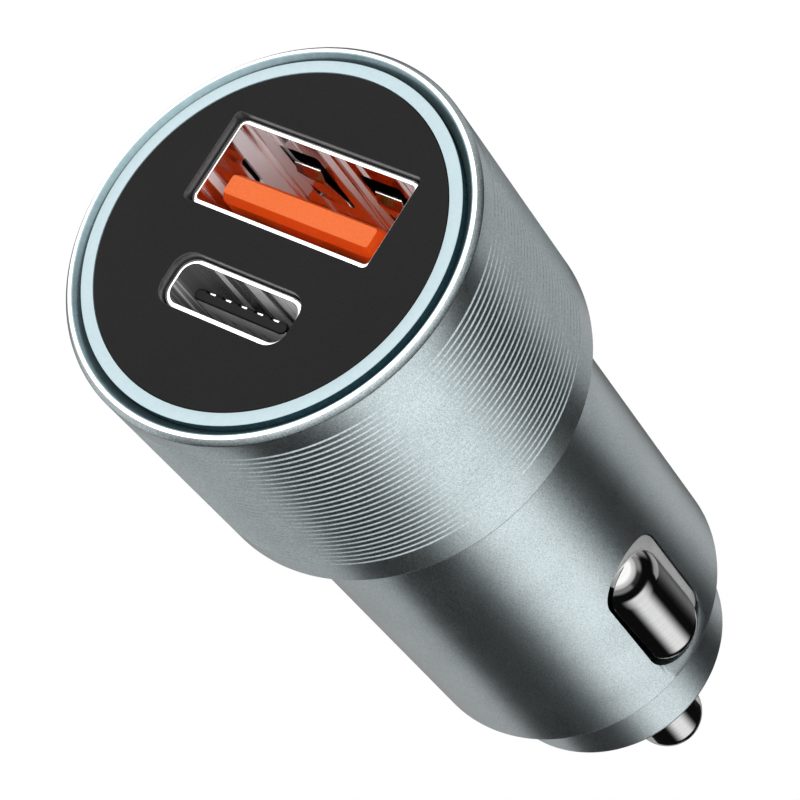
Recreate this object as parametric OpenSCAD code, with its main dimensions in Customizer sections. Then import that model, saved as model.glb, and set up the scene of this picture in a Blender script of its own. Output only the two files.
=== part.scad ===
// Car charger plug with a wide and a narrow charging socket in its face.
// It pushes into a vehicle's round power socket up to the shoulder.
// Z runs along the plug's axis, out of the vehicle socket and towards the face.
// The origin is on the axis, in the plane of the shoulder. Sizes are in millimetres.

/* [Head] */
// Diameter of the grooved head
head_d = 24.8; // [24.4:0.1:27]
// Length of the head, from the shoulder to the rim
head_l = 17.3; // [16.8:0.1:20]
// Width of the bevel round the outer edge of the rim
rim_bevel = 0.29; // [0.2:0.01:0.4]
// Width of the bright flat of the rim
rim_flat = 0.27; // [0.2:0.01:0.4]
// Width of the sunk channel between the rim and the light ring
channel_w = 0.53; // [0.4:0.01:0.7]
// Depth of the sunk channel
channel_depth = 0.6; // [0.4:0.05:1]
// Number of fine grooves turned round the head
groove_count = 28; // [20:1:28]
// Width of a groove at the surface
groove_w = 0.17; // [0.1:0.01:0.25]
// Depth of a groove
groove_depth = 0.09; // [0.05:0.01:0.15]
// Width of the plain band between the shoulder and the first groove
groove_start = 2.34; // [1.5:0.05:2.6]
// Width of the plain band between the last groove and the face
groove_front = 1.88; // [1.5:0.05:2.5]
// Width of the ledge inside the head that carries the light ring
ledge_w = 0.6; // [0.4:0.05:0.7]
// Thickness of the step between the head's bore and the barrel's bore
step_t = 1.6; // [1.2:0.1:1.8]

/* [Barrel] */
// Diameter of the barrel, which fits the vehicle's socket
barrel_d = 20.8; // [20.6:0.1:21.2]
// Length of the barrel, from the shoulder to its end
barrel_l = 29.2; // [29:0.1:32]
// Wall of the barrel
barrel_wall = 1.1; // [0.9:0.1:1.3]
// Thickness of the barrel's end wall
end_wall = 1.1; // [0.9:0.1:1.1]
// Diameter of the hole in the end wall
end_hole_d = 14; // [13:0.1:15]
// Small break on the barrel's and the shoulder's edges
edge_break = 0.15; // [0.1:0.01:0.3]

/* [Side contacts] */
// Distance from the barrel's end to the middle of the side contacts
contact_from_end = 7.3; // [7.3:0.05:8.2]
// Length of the contact's bulge
bulge_l = 11.8; // [10.5:0.1:11.8]
// Width of the contact's bulge
bulge_w = 4.8; // [4.6:0.1:5.2]
// Gap between the bulge and the window's sides and far end
window_gap = 0.3; // [0.2:0.05:0.4]
// Gap between the bulge and the end of the window that faces the head
window_head_gap = 0.9; // [0.5:0.05:1]
// Height of the bulge's ridge above the barrel
contact_rise = 1.1; // [0.8:0.1:1.2]
// Gap between the flat shelf round the bulge and the window's edge
shelf_gap = 0.1; // [0.08:0.01:0.15]
// How far the shelf lies below the barrel's surface at the window's sides
shelf_drop = 0.04; // [0.02:0.01:0.1]
// Sheet thickness of the contacts
contact_t = 0.45; // [0.35:0.05:0.5]
// How far the contact's flange reaches past the window, at its sides and head end
flange_lap = 0.5; // [0.4:0.05:0.6]
// Gap between the flange and the barrel's bore
flange_gap = 0.17; // [0.15:0.01:0.25]
// How far a side contact presses in
contact_travel = 1.3; // [1:0.1:1.6]

/* [Nose] */
// Diameter of the metal nose cap
nose_d = 16.7; // [16:0.1:18]
// Length of the nose cap beyond the barrel
nose_l = 7.8; // [7:0.1:10]
// Rounding of the nose cap's far edge
nose_round = 0.5; // [0.3:0.05:0.8]
// Thickness of the nose cap's end wall
nose_wall = 1.6; // [1.2:0.1:2]
// Diameter of the nose cap's bore
nose_bore_d = 11.8; // [11:0.1:12]
// Diameter of the hole that holds the tip's insulator
nose_hole_d = 9.8; // [9.6:0.1:10]
// Diameter of the insulator's cone where it meets the nose cap
cone_d = 15.2; // [14:0.1:15.5]
// Diameter of the cone's small end
cone_end_d = 6.9; // [6.7:0.1:7.5]
// Length of the cone
cone_l = 8.6; // [8:0.1:9]

/* [Tip] */
// Diameter of the sprung tip
tip_d = 5; // [4.6:0.1:5.2]
// How far the tip stands out of the cone at rest
tip_out = 6.7; // [5:0.1:8]
// How far the tip presses in
tip_travel = 3; // [2:0.1:3.4]
// Diameter of the tip's flange
tip_flange_d = 6.8; // [6.4:0.1:6.9]
// Thickness of the tip's flange
tip_flange_t = 0.8; // [0.6:0.1:1]
// Length of the cone's hole that guides the tip
tip_guide_l = 4.1; // [3.5:0.1:5]

/* [Face] */
// Width of the light ring
ring_w = 0.75; // [0.6:0.05:1]
// Height of the light ring
ring_h = 3; // [2.5:0.1:3.5]
// Thickness of the black face plate
plate_t = 1.6; // [1.2:0.1:2]
// How far the sockets' shells lie below the face
shell_drop = 0.5; // [0.4:0.05:0.8]
// Height of the wide socket's centre above the axis
wide_y = 3.35; // [3.2:0.05:3.4]
// Distance of the narrow socket's centre below the axis
narrow_y = 3.92; // [3.8:0.05:4.2]

/* [Wide socket] */
// Outer width of the wide socket's shell
wide_w = 13.1; // [12.9:0.1:13.2]
// Outer height of the wide socket's shell
wide_h = 5.7; // [5.6:0.1:5.8]
// Sheet thickness of both shells
shell_t = 0.3; // [0.25:0.01:0.35]
// Depth of the wide socket's hollow
wide_depth = 8.3; // [8:0.1:9]
// Width of the wide socket's tongue
wide_tongue_w = 11.1; // [10.8:0.1:11.3]
// Thickness of the wide socket's tongue
wide_tongue_t = 1.84; // [1.7:0.01:1.9]
// Gap between the tongue and the shell's lower wall
wide_tongue_gap = 0.74; // [0.65:0.01:0.8]
// How far the tongue's front lies below the face
wide_tongue_drop = 1; // [0.9:0.05:1.5]
// Height of the bevel round the tongue's front
tongue_bevel = 0.6; // [0.4:0.05:0.8]

/* [Narrow socket] */
// Outer width of the narrow socket's shell
narrow_w = 8.94; // [8.8:0.01:9.1]
// Outer height of the narrow socket's shell
narrow_h = 3.16; // [3.1:0.01:3.3]
// Corner radius of the narrow socket's shell
narrow_corner = 1.15; // [0.9:0.05:1.5]
// Depth of the narrow socket's hollow
narrow_depth = 6.5; // [6:0.1:7]
// Width of the narrow socket's tongue
narrow_tongue_w = 6.69; // [6.5:0.01:6.8]
// Thickness of the narrow socket's tongue
narrow_tongue_t = 0.7; // [0.65:0.01:0.75]
// How far the narrow tongue's front lies below the face
narrow_tongue_drop = 1.4; // [1.2:0.05:1.6]
// Number of contact pads on each side of the narrow tongue
pad_count = 5; // [4:1:6]
// Distance from one pad to the next
pad_pitch = 1.16; // [1:0.01:1.2]

/* [Inside] */
// Thickness of both circuit boards
board_t = 1; // [0.8:0.1:1.2]
// Gap between the step in the bore and the socket board's underside
board_lift = 1; // [0.8:0.1:1.2]
// Wall of the plastic carrier
carrier_wall = 1.1; // [1:0.1:1.2]
// Gap round the carrier
carrier_gap = 0.15; // [0.1:0.01:0.2]
// Distance from the axis to the walls that carry the side springs
spring_wall_x = 3.4; // [3.3:0.1:3.6]
// Thickness of the walls that carry the side springs
spring_wall_t = 0.8; // [0.7:0.1:0.9]
// Gap between the capacitors and the carrier's round wall
cap_side_gap = 1.37; // [1.2:0.01:1.6]
// Gap between the capacitors and the walls that carry the side springs
cap_end_gap = 2.9; // [2:0.1:4]
// Diameter of the inductor
coil_d = 8; // [7:0.1:8.4]
// Height of the inductor on its board
coil_h = 5; // [4:0.1:5.4]

/* [Hidden] */

fit = 0.04;      // clearance of pieces that slide into each other by hand
overcut = 0.5;   // how far a cutting solid runs past the surface that it cuts
fine = 96;       // facets that stand for a true circle
head_r = head_d / 2;
barrel_r = barrel_d / 2;
barrel_bore_r = barrel_r - barrel_wall;
rim_out_r = head_r - rim_bevel;
rim_in_r = rim_out_r - rim_flat;
ring_out_r = rim_in_r - channel_w;
ring_in_r = ring_out_r - ring_w;
plate_r = ring_in_r - fit;
seat_r = ring_out_r + fit;
head_bore_r = seat_r - ledge_w;
rim_bevel_h = rim_bevel * 1.1;
groove_pitch = (head_l - groove_front - groove_start) / (groove_count - 1);
ledge_z = head_l - ring_h;
step_z = step_t;
end_z = -barrel_l;
nose_z = end_z - nose_l;
cone_z = nose_z - cone_l;
tip_z = cone_z - tip_out;

plate_back_z = head_l - plate_t;
shell_z = head_l - shell_drop;
board_z = step_z + board_lift;
board_top_z = board_z + board_t;
carrier_head_r = min(head_bore_r, ring_in_r) - carrier_gap;
carrier_head_in_r = carrier_head_r - carrier_wall;
carrier_barrel_r = barrel_bore_r - carrier_gap;
carrier_barrel_in_r = carrier_barrel_r - carrier_wall;
socket_board_r = carrier_head_in_r - 0.1;
carrier_end_z = end_z + end_wall + 0.3;

board_slot = 0.5;     // depth of the carrier's slots for the main board
main_board_r = carrier_barrel_in_r + board_slot - 0.08;
main_board_end_z = carrier_end_z + 1;
main_board_top_z = step_z - 0.4;
board_face = board_t / 2;

contact_z = end_z + contact_from_end;
bulge_r = bulge_w / 2;
bulge_x = barrel_r + contact_rise - bulge_r;
bulge_end_z = contact_z - bulge_l / 2;
window_w = bulge_w + 2 * window_gap;
window_l = bulge_l + window_gap + window_head_gap;
window_z = bulge_end_z - window_gap + window_l / 2;
flange_half = window_w / 2 + flange_lap;
flange_top_z = window_z + window_l / 2 + flange_lap;
flange_l = flange_top_z - bulge_end_z;
flange_z = (flange_top_z + bulge_end_z) / 2;
flange_x = sqrt(pow(barrel_bore_r - flange_gap, 2) - pow(flange_half, 2));
flange_room = 0.25;   // gap round the flange in the carrier's opening
shelf_x = sqrt(pow(barrel_r, 2) - pow(window_w / 2, 2)) - shelf_drop;
shelf_w = window_w - 2 * shelf_gap;
shelf_l = window_l - 2 * shelf_gap;
spring_seat_x = spring_wall_x + spring_wall_t;
pin_plate_t = 0.3;
side_spring_x = spring_seat_x + pin_plate_t;
side_spring_r = 1.2;
side_wire = 0.3;
side_spring_out_r = side_spring_r + side_wire / 2;
side_spring_l = bulge_x + sqrt(pow(bulge_r - contact_t, 2) - pow(side_spring_out_r, 2))
    - side_spring_x - 0.08;
well_r = side_spring_out_r + 0.3;
well_t = 0.7;
contact_wall_x = flange_x - contact_t;
well_room = 1;        // gap between a spring's well and a contact that is pressed in
well_h = contact_wall_x - contact_travel - well_room - spring_seat_x;

tip_r = tip_d / 2;
cavity_r = tip_flange_d / 2 + 0.2;
guide_r = tip_r + 0.06;
cavity_z = cone_z + tip_guide_l;
tip_flange_z = cavity_z + 0.05;
tip_top_z = tip_flange_z + tip_flange_t;
tip_spring_r = tip_flange_d / 2 - 0.7;
tip_wire = 0.5;
tip_spring_end_gap = 0.05;
pressed_spring_l = 6.95;   // length of the tip's spring when the tip is pressed in
tip_spring_l = pressed_spring_l + tip_travel;
neck_z = tip_top_z + tip_spring_l + 2 * tip_spring_end_gap;

wide_in_w = wide_w - 2 * shell_t;
wide_in_h = wide_h - 2 * shell_t;
wide_base_z = shell_z - wide_depth;
wide_tongue_y = wide_y - wide_in_h / 2 + wide_tongue_gap + wide_tongue_t / 2;
narrow_in_w = narrow_w - 2 * shell_t;
narrow_in_h = narrow_h - 2 * shell_t;
narrow_base_z = shell_z - narrow_depth;
shell_corner = 0.6;
port_gap = 0.08;      // gap between a shell and the face plate

finger_w = 1.9;
finger_l = 4;
finger_bend = 0.45;
latch_w = 2.9;
latch_l = 5.4;
latch_x = 2.95;
latch_z = shell_z - 1.3 - latch_l;
slit_y = 0.9;
slit_w = 0.4;
slit_l = 2.6;
leg_len = board_t + 0.6;
shell_leg_w = 0.8;
shell_leg_x = wide_w / 2 - shell_t / 2;
shell_leg_y = wide_h / 2 - 1.2;
wide_pin_x = [-3.5, -1, 1, 3.5];
wide_pin_w = 1;
wide_pin_t = 0.2;
wide_pin_y = wide_tongue_y + wide_tongue_t / 2 - wide_pin_t - 0.01;
wide_pin_top_z = head_l - wide_tongue_drop - 1.3;
tail_w = 0.6;         // width of a contact's tail through the board
pad_w = 0.42;
pad_t = 0.12;
pad_y = narrow_tongue_t / 2 - pad_t;
pad_room = 0.12;      // gap beside a pad in its notch
pad_setback = [0, 2.4];   // how far behind the tongue's front the pads of its two faces start
function pad_x(i) = (i - (pad_count - 1) / 2) * pad_pitch;

header_w = 0.6;
header_pitch = 1.27;
header_outer_y = -narrow_y - narrow_h / 2 - 1.45;
header_inner_y = (wide_y - wide_h / 2 - narrow_y + narrow_h / 2) / 2;
header_y = [for (middle = [header_outer_y, header_inner_y]) for (side = [-1, 1])
    middle + side * header_pitch / 2];
header_x = board_face + header_w / 2;
header_down = 3;      // how far the header pins lie along the main board
cap_top_z = main_board_top_z - header_down - 0.8;
cap_l = cap_top_z - contact_z - bulge_l / 2 - cap_end_gap;
cap_lift = 0.1;       // gap between a capacitor and the board
cap_apart = 0.6;      // gap between the two capacitors
// two cans side by side on the board, as large as the carrier's round wall lets them be
cap_d = 2 * (carrier_barrel_in_r - cap_side_gap - (board_face + cap_lift + cap_apart / 2) / sqrt(2))
    / (1 + sqrt(2));
coil_z = cap_top_z - coil_d / 2;
coil_flange_t = 0.9;
chip_l = 4.9;
chip_z = contact_z + chip_l;

leg_angles = [200, 270, 340];
leg_r = socket_board_r - 0.5;   // distance from the axis to the light ring's legs
leg_t = 0.8;
leg_w = 2;
arm_h = 1.2;
light_h = 0.7;

// A rectangle with round corners, centred
module rounded(w, h, r) {
    square([w - 2 * r, h], center = true);
    square([w, h - 2 * r], center = true);
    for (x = [-1, 1])
        for (y = [-1, 1])
            translate([x * (w / 2 - r), y * (h / 2 - r)])
                circle(r, $fn = 48);
}

// A slot with round ends, its length along Y
module slot_2d(w, l) {
    square([w, l - w], center = true);
    for (y = [-1, 1])
        translate([0, y * (l - w) / 2])
            circle(w / 2, $fn = 64);
}

// Turns a flat outline so that its X is the part's Y, its Y is the part's Z, and it grows along +X
module along_x(x, l) {
    translate([x, 0, 0])
        rotate([90, 0, 90])
            linear_extrude(l)
                children();
}

// A round wire wound along +Z, its first and last turns closed
module coil(r, wire, l, turns) {
    steps = 18;
    sides = 6;
    last = steps * turns;
    closed = wire * 1.06;
    open = (l - wire - 2 * closed) / (turns - 2);
    function rise(t) = t < 1 ? t * closed
        : t > turns - 1 ? l - wire - (turns - t) * closed
        : closed + (t - 1) * open;
    rings = [for (i = [0:last]) for (j = [0:sides - 1])
        let (a = 360 * i / steps, b = 360 * j / sides, q = r + wire / 2 * cos(b))
        [q * cos(a), q * sin(a), wire / 2 + rise(i / steps) + wire / 2 * sin(b)]];
    walls = [for (i = [0:last - 1]) for (j = [0:sides - 1])
        let (k = (j + 1) % sides, p = i * sides, n = p + sides)
        each [[p + j, n + k, n + j], [p + j, p + k, n + k]]];
    first_end = [for (j = [sides - 1:-1:0]) j];
    last_end = [for (j = [0:sides - 1]) last * sides + j];
    polyhedron(rings, concat(walls, [first_end, last_end]), convexity = 10);
}

function groove(z) = [[head_r, z - groove_w / 2], [head_r - groove_depth, z],
    [head_r, z + groove_w / 2]];

module housing_outline() {
    polygon(concat(
        [[end_hole_d / 2, end_z], [barrel_r - edge_break, end_z],
            [barrel_r, end_z + edge_break], [barrel_r, 0],
            [head_r - edge_break, 0], [head_r, edge_break]],
        [for (i = [0:groove_count - 1]) each groove(groove_start + i * groove_pitch)],
        [[head_r, head_l - rim_bevel_h], [rim_out_r, head_l], [rim_in_r, head_l],
            [seat_r, head_l - channel_depth], [seat_r, ledge_z], [head_bore_r, ledge_z],
            [head_bore_r, step_z], [barrel_bore_r, step_z],
            [barrel_bore_r, end_z + end_wall], [end_hole_d / 2, end_z + end_wall]]));
}

// Head and barrel, turned from one piece, with a window on each side for a contact
module housing() {
    color([0.60, 0.64, 0.65])
        difference() {
            rotate_extrude($fn = fine)
                housing_outline();
            for (side = [0, 180])
                rotate([0, 0, side])
                    translate([0, 0, window_z])
                        along_x(barrel_bore_r - 2, barrel_wall + 4)
                            slot_2d(window_w, window_l);
        }
}

// Metal cap whose collar screws into the barrel's end
module nose_cap() {
    collar_r = end_hole_d / 2 - fit;
    nose_r = nose_d / 2;
    color([0.60, 0.64, 0.65])
        rotate_extrude($fn = fine)
            difference() {
                union() {
                    translate([0, end_z])
                        square([collar_r, end_wall]);
                    translate([0, nose_z + nose_round])
                        square([nose_r, nose_l - nose_round]);
                    translate([0, nose_z])
                        square([nose_r - nose_round, nose_l]);
                    translate([nose_r - nose_round, nose_z + nose_round])
                        circle(nose_round, $fn = 32);
                }
                translate([-overcut, nose_z - overcut])
                    square([nose_hole_d / 2 + overcut, nose_l]);
                translate([-overcut, nose_z + nose_wall])
                    square([nose_bore_d / 2 + overcut, nose_l + end_wall]);
            }
}

module port_hole(w, h, r, y) {
    translate([0, y, plate_back_z - overcut])
        linear_extrude(plate_t + 2 * overcut)
            rounded(w + 2 * port_gap, h + 2 * port_gap, r);
}

module face_plate() {
    color([0.17, 0.17, 0.17])
        difference() {
            translate([0, 0, plate_back_z])
                cylinder(h = plate_t, r = plate_r, $fn = fine);
            port_hole(wide_w, wide_h, shell_corner / 2, wide_y);
            port_hole(narrow_w, narrow_h, narrow_corner, -narrow_y);
        }
}

// Clear ring round the face, with three legs that take light from the board
module light_ring() {
    leg_top_z = plate_back_z - fit;
    color([0.82, 0.90, 0.92])
        union() {
            translate([0, 0, ledge_z])
                linear_extrude(ring_h)
                    difference() {
                        circle(ring_out_r, $fn = fine);
                        circle(ring_in_r, $fn = fine);
                    }
            for (a = leg_angles)
                rotate([0, 0, a]) {
                    translate([leg_r - leg_t / 2, -leg_w / 2, ledge_z])
                        cube([ring_in_r + ring_w / 2 - leg_r, leg_w, leg_top_z - ledge_z]);
                    translate([leg_r - leg_t / 2, -leg_w / 2, board_top_z + light_h + 0.1])
                        cube([leg_t, leg_w, leg_top_z - board_top_z - light_h - 0.1]);
                }
        }
}

// Sheet tube that stands on the socket board
module shell_tube(w, h, r, z) {
    translate([0, 0, board_top_z])
        linear_extrude(z - board_top_z)
            difference() {
                rounded(w, h, r);
                rounded(w - 2 * shell_t, h - 2 * shell_t, max(r - shell_t, 0.1));
            }
}

// Folded sheet shell: four windows with a spring finger in each, two slits and four board legs
module wide_shell() {
    color([0.85, 0.86, 0.87])
        translate([0, wide_y, 0])
            union() {
                difference() {
                    shell_tube(wide_w, wide_h, shell_corner, shell_z);
                    for (x = [-1, 1])
                        translate([x * latch_x - latch_w / 2, -wide_h, latch_z])
                            cube([latch_w, 2 * wide_h, latch_l]);
                    for (x = [-1, 1])
                        translate([x * wide_w / 2 - 1, slit_y, latch_z + latch_l - 0.4 - slit_l])
                            cube([2, slit_w, slit_l]);
                }
                for (x = [-1, 1])
                    for (y = [0, 1])
                        mirror([0, y, 0])
                            wide_finger(x * latch_x);
                for (x = [-1, 1])
                    for (y = [-1, 1])
                        translate([x * shell_leg_x - shell_t / 2, y * shell_leg_y - shell_leg_w / 2,
                                board_top_z - leg_len])
                            cube([shell_t, shell_leg_w, leg_len]);
            }
}

// A finger that grows from the inner end of a window and is bent in towards the tongue
module wide_finger(x) {
    y0 = wide_h / 2 - shell_t;
    translate([x - finger_w / 2, 0, 0])
        rotate([90, 0, 90])
            linear_extrude(finger_w)
                polygon([[y0, latch_z - 0.2], [y0 + shell_t, latch_z - 0.2],
                    [y0 + shell_t, latch_z + 0.4],
                    [y0 - finger_bend + shell_t, latch_z + finger_l - 0.8],
                    [y0 + shell_t * 0.6, latch_z + finger_l],
                    [y0 - shell_t * 0.4, latch_z + finger_l],
                    [y0 - finger_bend, latch_z + finger_l - 0.8],
                    [y0, latch_z + 0.4]]);
}

// Orange insulator: a tongue with a bevelled front on a block that fills the shell
module wide_tongue() {
    front_z = head_l - wide_tongue_drop;
    block_w = wide_in_w - 2 * fit;
    block_h = wide_in_h - 2 * fit;
    bevel_t = 0.32;
    color([0.93, 0.36, 0.10])
        difference() {
            union() {
                translate([0, wide_y, board_top_z])
                    linear_extrude(wide_base_z - board_top_z)
                        rounded(block_w, block_h, 0.3);
                translate([0, wide_tongue_y, board_top_z])
                    linear_extrude(front_z - board_top_z)
                        rounded(wide_tongue_w, wide_tongue_t, 0.25);
            }
            for (y = [0, 1])
                translate([0, wide_tongue_y, 0])
                    mirror([0, y, 0])
                        translate([-wide_tongue_w, 0, 0])
                            rotate([90, 0, 90])
                                linear_extrude(2 * wide_tongue_w)
                                    polygon([[wide_tongue_t / 2 - bevel_t, front_z],
                                        [wide_tongue_t / 2 + overcut, front_z],
                                        [wide_tongue_t / 2 + overcut, front_z - tongue_bevel],
                                        [wide_tongue_t / 2, front_z - tongue_bevel]]);
            for (x = [0, 1])
                mirror([x, 0, 0])
                    translate([0, wide_tongue_y + wide_tongue_t, 0])
                        rotate([90, 0, 0])
                            linear_extrude(2 * wide_tongue_t)
                                polygon([[wide_tongue_w / 2 - bevel_t, front_z],
                                    [wide_tongue_w / 2 + overcut, front_z],
                                    [wide_tongue_w / 2 + overcut, front_z - tongue_bevel],
                                    [wide_tongue_w / 2, front_z - tongue_bevel]]);
            for (x = wide_pin_x) {
                translate([x - wide_pin_w / 2 - fit, wide_pin_y - fit, wide_base_z - 1])
                    cube([wide_pin_w + 2 * fit, 1, wide_pin_top_z + fit - wide_base_z + 1]);
                translate([x - wide_pin_w / 2 - fit, wide_pin_y - fit, board_top_z - 1])
                    cube([wide_pin_w + 2 * fit, wide_pin_t + 2 * fit, wide_base_z - board_top_z + 1]);
            }
        }
}

// Four flat contacts in the tongue's upper face, each with a tail through the board
module wide_contacts() {
    color([0.86, 0.70, 0.36])
        for (x = wide_pin_x) {
            translate([x - wide_pin_w / 2, wide_pin_y, board_top_z])
                cube([wide_pin_w, wide_pin_t, wide_pin_top_z - board_top_z]);
            translate([x - tail_w / 2, wide_pin_y, board_top_z - leg_len])
                cube([tail_w, wide_pin_t, leg_len]);
        }
}

module narrow_shell() {
    color([0.85, 0.86, 0.87])
        translate([0, -narrow_y, 0]) {
            shell_tube(narrow_w, narrow_h, narrow_corner, shell_z);
            for (x = [-1, 1])
                translate([x * (narrow_w / 2 - shell_t / 2) - shell_t / 2, -shell_leg_w / 2,
                        board_top_z - leg_len])
                    cube([shell_t, shell_leg_w, leg_len]);
        }
}

module narrow_tongue() {
    front_z = head_l - narrow_tongue_drop;
    block_corner = narrow_corner - shell_t - fit;
    color([0.10, 0.10, 0.10])
        translate([0, -narrow_y, 0])
            difference() {
                union() {
                    translate([0, 0, board_top_z])
                        linear_extrude(narrow_base_z - board_top_z)
                            rounded(narrow_in_w - 2 * fit, narrow_in_h - 2 * fit, block_corner);
                    translate([0, 0, board_top_z])
                        linear_extrude(front_z - board_top_z)
                            rounded(narrow_tongue_w, narrow_tongue_t, narrow_tongue_t / 2 - 0.01);
                }
                for (i = [0:pad_count - 1])
                    for (y = [0, 1])
                        mirror([0, y, 0])
                            translate([pad_x(i) - pad_w / 2 - pad_room, pad_y - fit, narrow_base_z - 1])
                                cube([pad_w + 2 * pad_room, 1,
                                    front_z - pad_setback[y] - narrow_base_z + 1 + fit]);
            }
}

// Flat contact pads in both faces of the narrow tongue
module narrow_contacts() {
    front_z = head_l - narrow_tongue_drop;
    color([0.92, 0.90, 0.84])
        translate([0, -narrow_y, 0])
            for (i = [0:pad_count - 1])
                for (y = [0, 1])
                    mirror([0, y, 0])
                        translate([pad_x(i) - pad_w / 2, pad_y, narrow_base_z - 1 + fit])
                            cube([pad_w, pad_t, front_z - pad_setback[y] - narrow_base_z + 0.85 - fit]);
}

// Plastic carrier inside the housing: it holds both boards and the side springs
module carrier() {
    color([0.16, 0.17, 0.18])
        difference() {
            union() {
                rotate_extrude($fn = fine)
                    polygon([[carrier_barrel_in_r, carrier_end_z],
                        [carrier_barrel_r, carrier_end_z], [carrier_barrel_r, step_z],
                        [carrier_head_r, step_z], [carrier_head_r, plate_back_z],
                        [carrier_head_in_r, plate_back_z], [carrier_head_in_r, board_z],
                        [carrier_barrel_in_r, board_z]]);
                for (side = [0, 180])
                    rotate([0, 0, side])
                        spring_wall();
            }
            for (side = [0, 180])
                rotate([0, 0, side]) {
                    translate([spring_seat_x + well_h + 0.1, -flange_half - flange_room,
                            flange_z - flange_l / 2 - flange_room])
                        cube([barrel_r, 2 * (flange_half + flange_room),
                            flange_l + 2 * flange_room]);
                    translate([spring_wall_x - overcut, 0, contact_z])
                        rotate([0, 90, 0])
                            cylinder(h = spring_wall_t + 2 * overcut, r = 0.4, $fn = 32);
                }
            translate([-board_face - fit, -main_board_r - fit, main_board_end_z])
                cube([board_t + 2 * fit, 2 * (main_board_r + fit), board_z - main_board_end_z + 1]);
            for (a = leg_angles)
                rotate([0, 0, a])
                    translate([leg_r - leg_t, -leg_w / 2 - 0.15, ledge_z - 0.15])
                        cube([carrier_head_r, leg_w + 0.3, ring_h]);
            for (x = [-1, 1])
                for (y = [-1, 1])
                    translate([x * shell_leg_x - shell_t, wide_y + y * shell_leg_y - shell_leg_w,
                            board_top_z - leg_len - 0.15])
                        cube([2 * shell_t, 2 * shell_leg_w, leg_len]);
        }
}

module spring_wall() {
    wall_half = sqrt(pow(carrier_barrel_in_r + carrier_wall / 2, 2) - pow(spring_seat_x, 2));
    translate([spring_wall_x, -wall_half, contact_z - bulge_l / 2])
        cube([spring_wall_t, 2 * wall_half, bulge_l]);
    translate([0, 0, contact_z])
        along_x(spring_seat_x - 0.1, well_h + 0.1)
            difference() {
                circle(well_r + well_t, $fn = 48);
                circle(well_r, $fn = 48);
            }
}

module socket_board() {
    hole = fit + 0.06;
    color([0.08, 0.30, 0.20])
        difference() {
            translate([0, 0, board_z])
                cylinder(h = board_t, r = socket_board_r, $fn = fine);
            for (x = [-1, 1])
                for (y = [-1, 1])
                    board_hole(x * shell_leg_x, wide_y + y * shell_leg_y,
                        shell_t + 2 * hole, shell_leg_w + 2 * hole);
            for (x = [-1, 1])
                board_hole(x * (narrow_w / 2 - shell_t / 2), -narrow_y,
                    shell_t + 2 * hole, shell_leg_w + 2 * hole);
            for (x = wide_pin_x)
                board_hole(x, wide_pin_y + wide_pin_t / 2, tail_w + 2 * hole, wide_pin_t + 2 * hole);
            for (y = header_y)
                board_hole(header_x, y, header_w + 2 * hole, header_w + 2 * hole);
        }
}

module board_hole(x, y, w, h) {
    translate([x - w / 2, y - h / 2, board_z - overcut])
        cube([w, h, board_t + 2 * overcut]);
}

module main_board() {
    color([0.08, 0.30, 0.20])
        translate([-board_face, -main_board_r, main_board_end_z])
            cube([board_t, 2 * main_board_r, main_board_top_z - main_board_end_z]);
}

// Pins soldered to the main board's face that stand up through the socket board
module header_pins() {
    color([0.86, 0.70, 0.36])
        for (y = header_y)
            translate([header_x - header_w / 2, y - header_w / 2, main_board_top_z - header_down])
                cube([header_w, header_w, board_top_z + 0.4 - main_board_top_z + header_down]);
}

// Round metal can lying along the board, with a rolled groove near its lower end
module can(y) {
    translate([board_face + cap_lift + cap_d / 2, y, cap_top_z - cap_l])
        rotate_extrude($fn = 64)
            polygon([[0, 0], [cap_d / 2 - 0.3, 0], [cap_d / 2, 0.3], [cap_d / 2, 1.1],
                [cap_d / 2 - 0.25, 1.35], [cap_d / 2, 1.6], [cap_d / 2, cap_l - 0.3],
                [cap_d / 2 - 0.3, cap_l], [0, cap_l]]);
}

module capacitor_in() {
    color([0.20, 0.22, 0.30])
        can(-(cap_d + cap_apart) / 2);
}

module capacitor_out() {
    color([0.20, 0.22, 0.30])
        can((cap_d + cap_apart) / 2);
}

// Ferrite drum on the board's other face
module inductor_core() {
    color([0.22, 0.22, 0.24])
        translate([-board_face, 0, coil_z])
            rotate([0, -90, 0])
                rotate_extrude($fn = 64)
                    polygon([[0, 0], [coil_d / 2, 0], [coil_d / 2, coil_flange_t],
                        [coil_d / 4, coil_flange_t], [coil_d / 4, coil_h - coil_flange_t],
                        [coil_d / 2, coil_h - coil_flange_t], [coil_d / 2, coil_h], [0, coil_h]]);
}

module inductor_winding() {
    turns = 6;
    core_gap = 0.05;
    lane = coil_h - 2 * coil_flange_t - 2 * core_gap;
    wire = lane / turns;
    in_r = coil_d / 4 + core_gap;
    out_r = coil_d / 2 - 0.5;
    color([0.72, 0.40, 0.20])
        translate([-board_face, 0, coil_z])
            rotate([0, -90, 0])
                rotate_extrude($fn = 64) {
                    translate([in_r, coil_flange_t + core_gap])
                        square([out_r - wire / 2 - in_r, lane]);
                    for (i = [0:turns - 1])
                        translate([out_r - wire / 2, coil_flange_t + core_gap + (i + 0.5) * wire])
                            circle(wire / 2, $fn = 24);
                }
}

// A chip package with its gull-wing legs, lying on a face of the main board
module chip() {
    w = 3.9;
    h = 1.5;
    lift = 0.12;
    legs = 4;
    leg_w = 0.4;
    leg_pitch = 1.27;
    translate([lift, -w / 2, -chip_l / 2])
        cube([h - lift, w, chip_l]);
    for (i = [0:legs - 1])
        for (side = [0, 1])
            mirror([0, side, 0])
                translate([0, w / 2, (i - (legs - 1) / 2) * leg_pitch - leg_w / 2]) {
                    cube([0.15, 0.9, leg_w]);
                    cube([0.7, 0.25, leg_w]);
                }
}

module power_chip() {
    color([0.12, 0.12, 0.13])
        translate([board_face, 0, chip_z])
            chip();
}

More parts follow.
